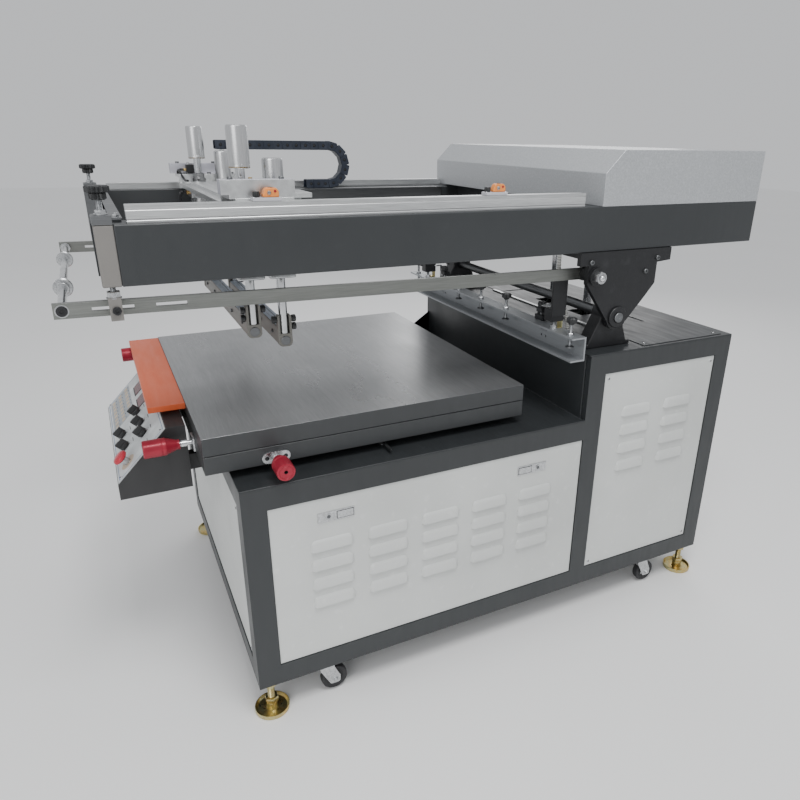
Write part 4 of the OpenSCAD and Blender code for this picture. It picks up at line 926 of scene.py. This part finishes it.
shaft = Build("pivotShaft", "darkSteel")
shaft.turned([(0, 0.8), (3, 0.8), (3.6, 0), (13.4, 0), (14.9, 1.5), (14.9, 1022.5), (13.4, 1024),
              (3.6, 1024), (3, 1023.2), (0, 1023.2)], (-512, *pivotLine), rightward, 48)
shaft.done("head", "bright_steel", "pivot_shaft")
softened("lift_tubes", "aluminiumZ", 1)
softened("lift_rods", "polished", 0.8)
deck = Build("deckTrim", "charcoalPaint", "aluminiumX", "brightZinc", "seamShadow")
deck.prism([(300, 1215), (520, 1215), (520, 1540), (-520, 1540), (-520, 1215), (-300, 1215), (-300, 1420),
            (300, 1420)], 901, 903, "z", 0.6)
deck.box((-330, 1200, 901), (330, 1212, 906), 0.8, 1)
for x in (-500, 500):
    for y in (1232, 1524):
        deck.panScrew((x, y, 903), upward, 9, 2, 3)
deck.done("base", "frame_paint")
print("pivots made")

# ---- screen holder ----

softened("holder_bars", "barAluminium", 0.9, 2, "taupePaint",
         lambda f: abs(f.calc_center_median().x) > 0.4487)
hangers = Build("hangerFittings", "brightZinc", "hoseRubber")
hangers.turned([(8.2, 0), (11.4, 0), (13.9, 1.6), (13.9, 11), (11.6, 12.6), (8.2, 12.6)], (*postAt, 1164.8),
               upward, 6)
hangers.ring(8.2, 14.6, 1.6, (*postAt, 1163.4), upward, 32)
hangers.turned([(8.4, 0), (8.4, 5.4), (7.4, 6.6), (4.4, 6.6), (4.1, 3), (0, 3)], (492, -190, 1140),
               rightward, 28, 1)
hangers.bothSides()
hangers.done("carrier", "bare_aluminium")

crossAt = (-288.87, 1138.28)
cross = Build("frontCrossRod", "polished", "brightZinc", "hoseRubber")
cross.turned([(0, 0), (9, 0), (9, 240), (8, 242), (8, 246), (9, 248), (9, 629), (8, 631), (8, 635), (9, 637),
              (9, 877), (0, 877)], (-438.5, *crossAt), rightward, 40)
for side in (1, -1):
    cross.turned([(9, 0), (19.6, 0), (21, 1.2), (21, 3.6), (19.4, 4.8), (16, 5), (16, 7), (19.4, 7.2),
                  (21, 8.4), (21, 10.8), (19.6, 12), (14, 12.2), (14, 25), (13, 26),
                  (9, 26)], (side * 196, *crossAt),
                 (side, 0, 0), 48, 1)
    cross.ring(9, 12.6, -8, (side * 196, *crossAt), (side, 0, 0), 36, 1)
    cross.turned([(9, 0), (13.6, 0), (14, 0.6), (14, 11), (13, 12), (9, 12)], (side * 426, *crossAt),
                 (side, 0, 0), 36, 1)
    cross.ring(6.4, 13.2, 1.2, (side * 448.5, *crossAt), (side, 0, 0), 36, 1)
    cross.turned([(0, 1.6), (4.2, 1.6), (4.6, 3.8), (10.2, 3.9), (10.9, 3), (10.9, 0), (0, 0)],
                 (side * 448.6, *crossAt), (side, 0, 0), 36, 2)
cross.done("carrier", "bright_steel", "front_cross_rod")

softened("frame_channel", "channelAluminium", 0.6)
clampPlaces = (-500, -160, 0, 160, 500)
seats = Build("clampSeats", "brightZinc", "darkSteel")
for x in clampPlaces:
    seats.ring(5.5, 11, 1.3, (x, 950, 960), upward, 28)
    seats.turned([(5.4, 0), (8.4, 0), (9.2, 0.8), (9.2, 4.6), (8.4, 5.4), (5.4, 5.4)], (x, 950, 961.3),
                 upward, 6)
for x in (-330, 330):
    for dx in (0, 22):
        for dz in (916, 936):
            seats.turned([(5, 0), (5, 3.4), (4.2, 4.2), (2.6, 4.2), (2.4, 2), (0, 2)], (x + dx, 979, dz),
                         (0, 1, 0), 20, 1)
seats.done("carrier", "bare_aluminium")

clamps = Build("frameClamps", "brightZinc", "blackPlastic", "darkSteel")
for x in clampPlaces:
    clamps.thread((x, 950, 930), (x, 950, 996), 9.8, 1.5)
    clamps.turned([(0, 0), (11, 0), (12, 0.8), (12, 3.6), (9, 4.4), (6.5, 6.8), (0, 6.8)], (x, 950, 924.1),
                  upward, 36, 2)
    clamps.turned([(5, 0), (8, 0), (9, 1.5), (9, 6), (5, 6)], (x, 950, 991.6), upward, 28, 1)
    clamps.starKnob((x, 950, 996), upward, 32, 15.6, 7, 1)
clamps.done("clamp_screws", "black_plastic", "clamp_screws")

hung = Build("channelHangers", "casting", "brightZinc", "yellowZinc", "blackPlastic", "steelPlate")
hung.box((430.6, 926, 1000), (438.5, 975, 1131.6), 1.6, 0)
hung.box((396, 930, 982), (431, 975, 1019.6), 2.2, 0)
hung.thread((418, 952, 960), (418, 952, 984), 11.8, 1.75, 1)
hung.hexagon((418, 952, 961.8), upward, 21, 7.2, 1)
hung.ring(6, 13, 1.8, (418, 952, 960), upward, 32, 1)
hung.hexagon((418, 952, 1019.6), upward, 19, 7, 1)
for z in (1012, 1104):
    hung.turned([(6.5, 0), (6.5, 4), (5.6, 5), (3.4, 5), (3.2, 2.4), (0, 2.4)], (430.6, 962, z + 4),
                (-1, 0, 0), 24, 1)
hung.prism([(976, 960), (976, 1016), (973, 1019), (973, 963), (958, 963), (958, 960)], 404, 426, "x", 0.8, 2)
hung.box((300, 965, 960.2), (340, 987, 976), 1.8, 0)
hung.box((300, 974, 975), (340, 987, 997.6), 1.8, 0)
hung.box((306, 965, 984), (334, 976, 997.6), 1.4, 0)
hung.thread((320, 975, 976), (320, 975, 1000), 8, 1.25, 1)
hung.starKnob((320, 975, 998), upward, 26.4, 19, 7, 3)
hung.prism([(979.2, 962), (979.2, 1014), (952, 1014), (952, 1011.4), (976.6, 1011.4), (976.6, 962)], 350,
           364, "x", 0.6, 1)
hung.bothSides()
hung.done("carrier", "bright_zinc", "channel_hangers")
print("screen holder made")

# ---- carriage ----

softened("carriage_frame", "aluminiumX", 1.4, 2, "lilacPlate",
         lambda f: abs(f.calc_center_median().x) > 0.4095
         and f.calc_center_median().z > 1.354)
cap = {"diameter": 48, "wall": 3.4, "height": 92}
cylinders = Build("airCylinders", "aluminiumZ", "darkSteel", "brass", "blackPlastic", "steelPlate")
fixings = Build("carriageFixings", "darkSteel", "aluminiumZ", "brightZinc", "blackPlastic")
for x in (-315, 315):
    for y in (111, 186):
        cylinders.ring(11.4, 27.4, 112, (x, y, 1178), upward, 48)
        for z in (1150, 1288):
            cylinders.box((x - 32, y - 32, z), (x + 32, y + 32, z + 30), 4, 4, 3)
        for sx in (-24, 24):
            for sy in (-24, 24):
                cylinders.rod((x + sx, y + sy, 1179), (x + sx, y + sy, 1289), 5.4, 1, 14)
        out = -1 if y < 150 else 1
        for z in (1165, 1303):
            cylinders.turned([(0, 0), (5.2, 0), (5.2, 3), (6.2, 3.2), (6.2, 8), (4.6, 9), (0, 9)],
                             (x - 8, y + out * 31.6, z), (0, out, 0), 18, 2)
            cylinders.turned([(0, 0), (5, 0), (5.4, 0.6), (5.4, 5), (3.6, 6), (0, 6)],
                             (x - 8, y + out * 40.4, z), (0, out, 0), 18, 3)
        fixings.turned([(12.4, 0), (19, 0), (19.2, 0.6), (19.2, 15), (16.6, 15.6), (16.6, 28), (15, 29.6),
                        (12.2, 29.6), (12.2, 2)], (x, y, 1330), upward, 40, 1)
for x in (352, 428):
    for y in (78, 148, 218) if x < 400 else (66, 176):
        z = 1355 if x < 400 else 1384
        fixings.turned([(6, 0), (6, 4.4), (5.2, 5.4), (3.2, 5.4), (3, 2.6), (0, 2.6)], (x, y, z - 0.2),
                       upward, 22)
fixings.bothSides()
fixings.done("carriage", "bare_aluminium")
cylinders.done("carriage", "bare_aluminium", "air_cylinders")


def bladeHolder(name, body, node, y, capZ, low, out):
    holder = Build(name, "holderTaupe", "polished", "aluminiumZ", "brass", "blueGrey", "blackPlastic",
                   "darkSteel")
    r, wall = cap["diameter"] / 2, cap["wall"]
    holder.turned([(0, 0), (10.9, 0), (10.9, capZ + 20 - low - 34.2), (0, capZ + 20 - low - 34.2)],
                  (315, y, low + 34.2), upward, 36, 1)
    holder.turned([(10.9, cap["height"] - 14), (r - wall, cap["height"] - 14), (r - wall, 1), (r - 1, 0),
                   (r, 1.2), (r, 8), (r - 0.3, 8.6), (r, 9.2), (r, cap["height"] - 5),
                   (r - 1.6, cap["height"] - 1), (r - 4, cap["height"] - 0.2),
                   (0, cap["height"] - 0.2)], (315, y, capZ), upward, 64, 2)
    holder.turned([(r - wall - 0.2, 0), (r, 0), (r, 2.4), (r - wall - 0.2, 2.4)], (315, y, capZ + 1.5),
                  (0, 0, 1), 64, 3)
    outline = [(y - 18, low + 9), (y - 15, low + 3), (y - 9, low), (y + 9, low), (y + 15, low + 3),
               (y + 18, low + 9), (y + 18, low + 78), (y + 15, low + 82), (y + 11.5, low + 82),
               (y + 11.5, low + 34), (y - 11.5, low + 34), (y - 11.5, low + 82),
               (y - 15, low + 82), (y - 18, low + 78)]
    holder.prism(outline, 309, 327, "x", 1.2)
    holder.turned([(12, 0), (12, 1.2), (11, 2), (0, 2)], (327, y, low + 16), rightward, 36, 6)
    for way in (-1, 1):
        for z in (low + 50, low + 70):
            if way == out or z > low + 60:
                holder.turned([(0, 0), (5, 0), (5, 2), (8.6, 2.4), (9.2, 4), (9.2, 11), (8, 12.4), (0, 12.6)],
                              (318, y + way * 17.6, z), (0, way, 0), 24, 5)
    holder.bothSides()
    for way in (-1, 1):
        near, far = sorted((y + way * 5.2, y + way * 16))
        holder.prism([(near, low + 6), (near + 2, low + 4), (far - 2, low + 4), (far, low + 6),
                      (far, low + 48), (far - 2, low + 50), (near + 2, low + 50),
                      (near, low + 48)], -309, 309, "x", 0, 0)
        holder.box((-306, near + 1.5, low + 49.6), (306, far - 1.5, low + 50.5), 0.3, 4)
        for x in range(-260, 261, 130):
            holder.turned([(5, 0), (5, 3), (4.2, 3.8), (2.6, 3.8), (2.4, 2), (0, 2)],
                          (x, y + way * 16, low + 27), (0, way, 0), 20, 6)
    holder.box((-309, y - 5.2, low + 34), (309, y + 5.2, low + 49.4), 0, 4)
    holder.done(body, "bare_aluminium", node)


bladeHolder("squeegeeHolder", "squeegee", "squeegee_holder", 111, 1401, 1004, -1)
bladeHolder("floodHolder", "flood_bar", "flood_holder", 186, 1332, 973, 1)

guides = Build("rodGuides", "holderTaupe", "blackPlastic", "blueGrey")
for y in (111, 186):
    guides.box((301, y - 20, 1150), (337, y + 20, 1172), 1.6)
    guides.turned([(0, 7), (3.6, 7), (3.8, 8.6), (6.4, 8.6), (7.4, 7.6), (7.4, 0)], (337, y + 3, 1160),
                  rightward, 28, 1)
    guides.box((309, y + 20, 1152), (329, y + 23.4, 1170), 1, 2)
guides.bothSides()
guides.done("carriage", "bare_aluminium")

for x in (-315, 315):
    for y, out in ((111, -1), (186, 1)):
        ends = [(x - 8, y + out * 46, 1165), (x - 8, y + out * 56, 1165), (x - 8, y + out * 60, 1180),
                (x - 8, y + out * 58, 1235), (x - 8, y + out * 60, 1290), (x - 8, y + out * 56, 1303),
                (x - 8, y + out * 46, 1303)]
        hose("airHose_%s_%d" % ("right" if x > 0 else "left", y), ends, 7, "hoseRubber", "carriage")
valve = Build("airValve", "blackPlastic", "brightZinc", "brass")
for x in (-395, 395):
    valve.box((x - 13, 86, 1355.2), (x + 13, 126, 1381), 2)
    valve.rod((x, 94, 1380), (x, 94, 1388), 9, 1, 18)
    valve.rod((x, 116, 1380), (x, 116, 1386), 9, 2, 18)
    valve.rod((x, 87, 1366), (x, 79, 1366), 8, 2, 18)
valve.done("carriage", "bare_aluminium")
for side, x in (("right", 1), ("left", -1)):
    hose("supplyHose_" + side, [(x * 395, 79, 1366), (x * 395, 68, 1366), (x * 385, 60, 1356),
                                (x * 368, 60, 1366), (x * 340, 66, 1350), (x * 326, 70, 1340),
                                (x * 300, 76, 1338)], 7, "hoseRubber", "carriage")
print("carriage made")

# ---- drag chain, air hoses and loom ----

chain = {"pitch": 30.4, "half": 20, "thick": 28, "x": -388, "low": 1305, "bend": 545, "radius": 75}


def chainLink(build, y, z, angle, wide):  # one link, centred on the chain's line
    before = set(build.mesh.faces)
    length = chain["pitch"]
    half = chain["half"] - (0 if wide else 2.4)
    for side in (-1, 1):
        low, high = sorted((side * half, side * (half - 2.4)))
        tall = chain["thick"] / 2 - 0.4
        outline = [(-length * 0.5 - 2, -tall * 0.85), (-length * 0.5 + 0.5, -tall),
                   (length * 0.5 - 0.5, -tall), (length * 0.5 + 2, -tall * 0.85),
                   (length * 0.5 + 2, tall * 0.85), (length * 0.5 - 0.5, tall),
                   (-length * 0.5 + 0.5, tall), (-length * 0.5 - 2, tall * 0.85)]
        build.prism(outline, low, high, "x", 0.8, 0, 1)
        build.turned([(0, 0.7), (3, 0.7), (4, 0), (5, 0)], (side * half, 0, 0), (side, 0, 0), 12, 1)
    for z0 in (-chain["thick"] / 2, chain["thick"] / 2 - 3):
        build.box((-half + 1, -length * 0.44, z0), (half - 1, length * 0.44, z0 + 3), 0.8, 0, 1)
    verts = list({v for f in build.mesh.faces if f not in before for v in f.verts})
    bmesh.ops.transform(build.mesh,
                        matrix=Matrix.Translation((chain["x"], y, z)) @ Matrix.Rotation(angle, 4, "X"),
                        verts=verts)


centre = chain["radius"] - chain["thick"] / 2
middle = chain["low"] + chain["radius"]
lowLine = chain["low"] + chain["thick"] / 2
farOff = 100000  # far off to either side of the chain's line
upper = Build("chainUpper", "chainPlastic", "seamShadow")
for i in range(12):
    chainLink(upper, 180 + chain["pitch"] * (i + 0.5), middle + centre, 0, i % 2)
turnLinks = Build("chainBend", "chainPlastic", "seamShadow")
for i in range(6):
    angle = math.pi * (i + 0.5) / 6
    chainLink(turnLinks, chain["bend"] + centre * math.sin(angle), middle + centre * math.cos(angle), -angle,
              i % 2)
lower = Build("chainLower", "chainPlastic", "seamShadow", "brightZinc")
for i in range(3):
    chainLink(lower, chain["bend"] - chain["pitch"] * (i + 0.5) * 0.82, lowLine, 0, i % 2)


def bendPiece(build, slotName, first, second, start, end, *replaced):
    obj = build.finished()
    bpy.context.scene.collection.objects.link(obj)
    if replaced:
        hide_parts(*replaced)
    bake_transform(obj)
    return obj


bendPiece(upper, "chain_plastic", "head", "carriage", (chain["x"], 910, middle + centre),
          (chain["x"], 180, middle + centre), "drag_chain")
bendPiece(turnLinks, "chain_plastic", "head", "carriage", (chain["x"] - farOff, chain["bend"], middle),
          (chain["x"] + farOff, chain["bend"], middle))
bendPiece(lower, "chain_plastic", "head", "carriage", (chain["x"], 470, lowLine), (chain["x"], 620, lowLine))

loomRoute = [Vector(p) for p in ((421, 950, 1183), (421, 950, 1160), (421, 951, 1130), (419, 956, 1100),
                                 (415, 966, 1072), (409, 980, 1045), (402, 996, 1018), (394, 1011, 990),
                                 (388, 1023, 960), (385, 1030, 935), (385, 1032, 915), (385, 1032, 902))]
loom = Build("wrappedLoom", "spiralWrap", "seamShadow")
wrap = {"radius": 5.9, "groove": 4.7, "perSpan": 9, "around": 16}
rings, around = [], wrap["around"]
for i, here in enumerate(loomRoute[:-1]):
    ahead = loomRoute[i + 1]
    before, after = loomRoute[max(0, i - 1)], loomRoute[min(len(loomRoute) - 1, i + 2)]
    for k in range(wrap["perSpan"]):
        t = k / wrap["perSpan"]
        point = here * (2 * t ** 3 - 3 * t * t + 1) + ahead * (3 * t * t - 2 * t ** 3) + \
            (ahead - before) * 0.5 * (t ** 3 - 2 * t * t + t) + (after - here) * 0.5 * (t ** 3 - t * t)
        rings.append(point)
rings.append(loomRoute[-1])
loops = []
for i, point in enumerate(rings):
    along = (rings[min(i + 1, len(rings) - 1)] - rings[max(i - 1, 0)]).normalized()
    first = along.cross(Vector((1, 0, 0))).normalized()
    second = along.cross(first)
    radius = wrap["radius"] if i % 3 else wrap["groove"]
    loops.append([loom.mesh.verts.new(point + (first * math.cos(math.tau * k / around) +
                                               second * math.sin(math.tau * k / around)) * radius)
                  for k in range(around)])
for ring, following in zip(loops, loops[1:]):
    for k in range(around):
        loom.mesh.faces.new((ring[k], following[k], following[(k + 1) % around], ring[(k + 1) % around]))
loom.mesh.faces.new(loops[0])
loom.mesh.faces.new(loops[-1][::-1])
bmesh.ops.recalc_face_normals(loom.mesh, faces=loom.mesh.faces)
bendPiece(loom, "loom_wrap", "head", "base", (400, 940, 1176), (400, 1040, 904), "head_loom")
print("chain, hoses and loom made")

# ---- stage ----

setCamera()
setLamps()
floorMesh = bmesh.new()
bmesh.ops.create_grid(floorMesh, x_segments=1, y_segments=1, size=studio["floor"] / 2)
floorData = bpy.data.meshes.new("studioFloor")
floorMesh.to_mesh(floorData)
floorMesh.free()
floorData.materials.append(studioFloor())
floor = bpy.data.objects.new("studioFloor", floorData)
bpy.context.scene.collection.objects.link(floor)
print("stage set")
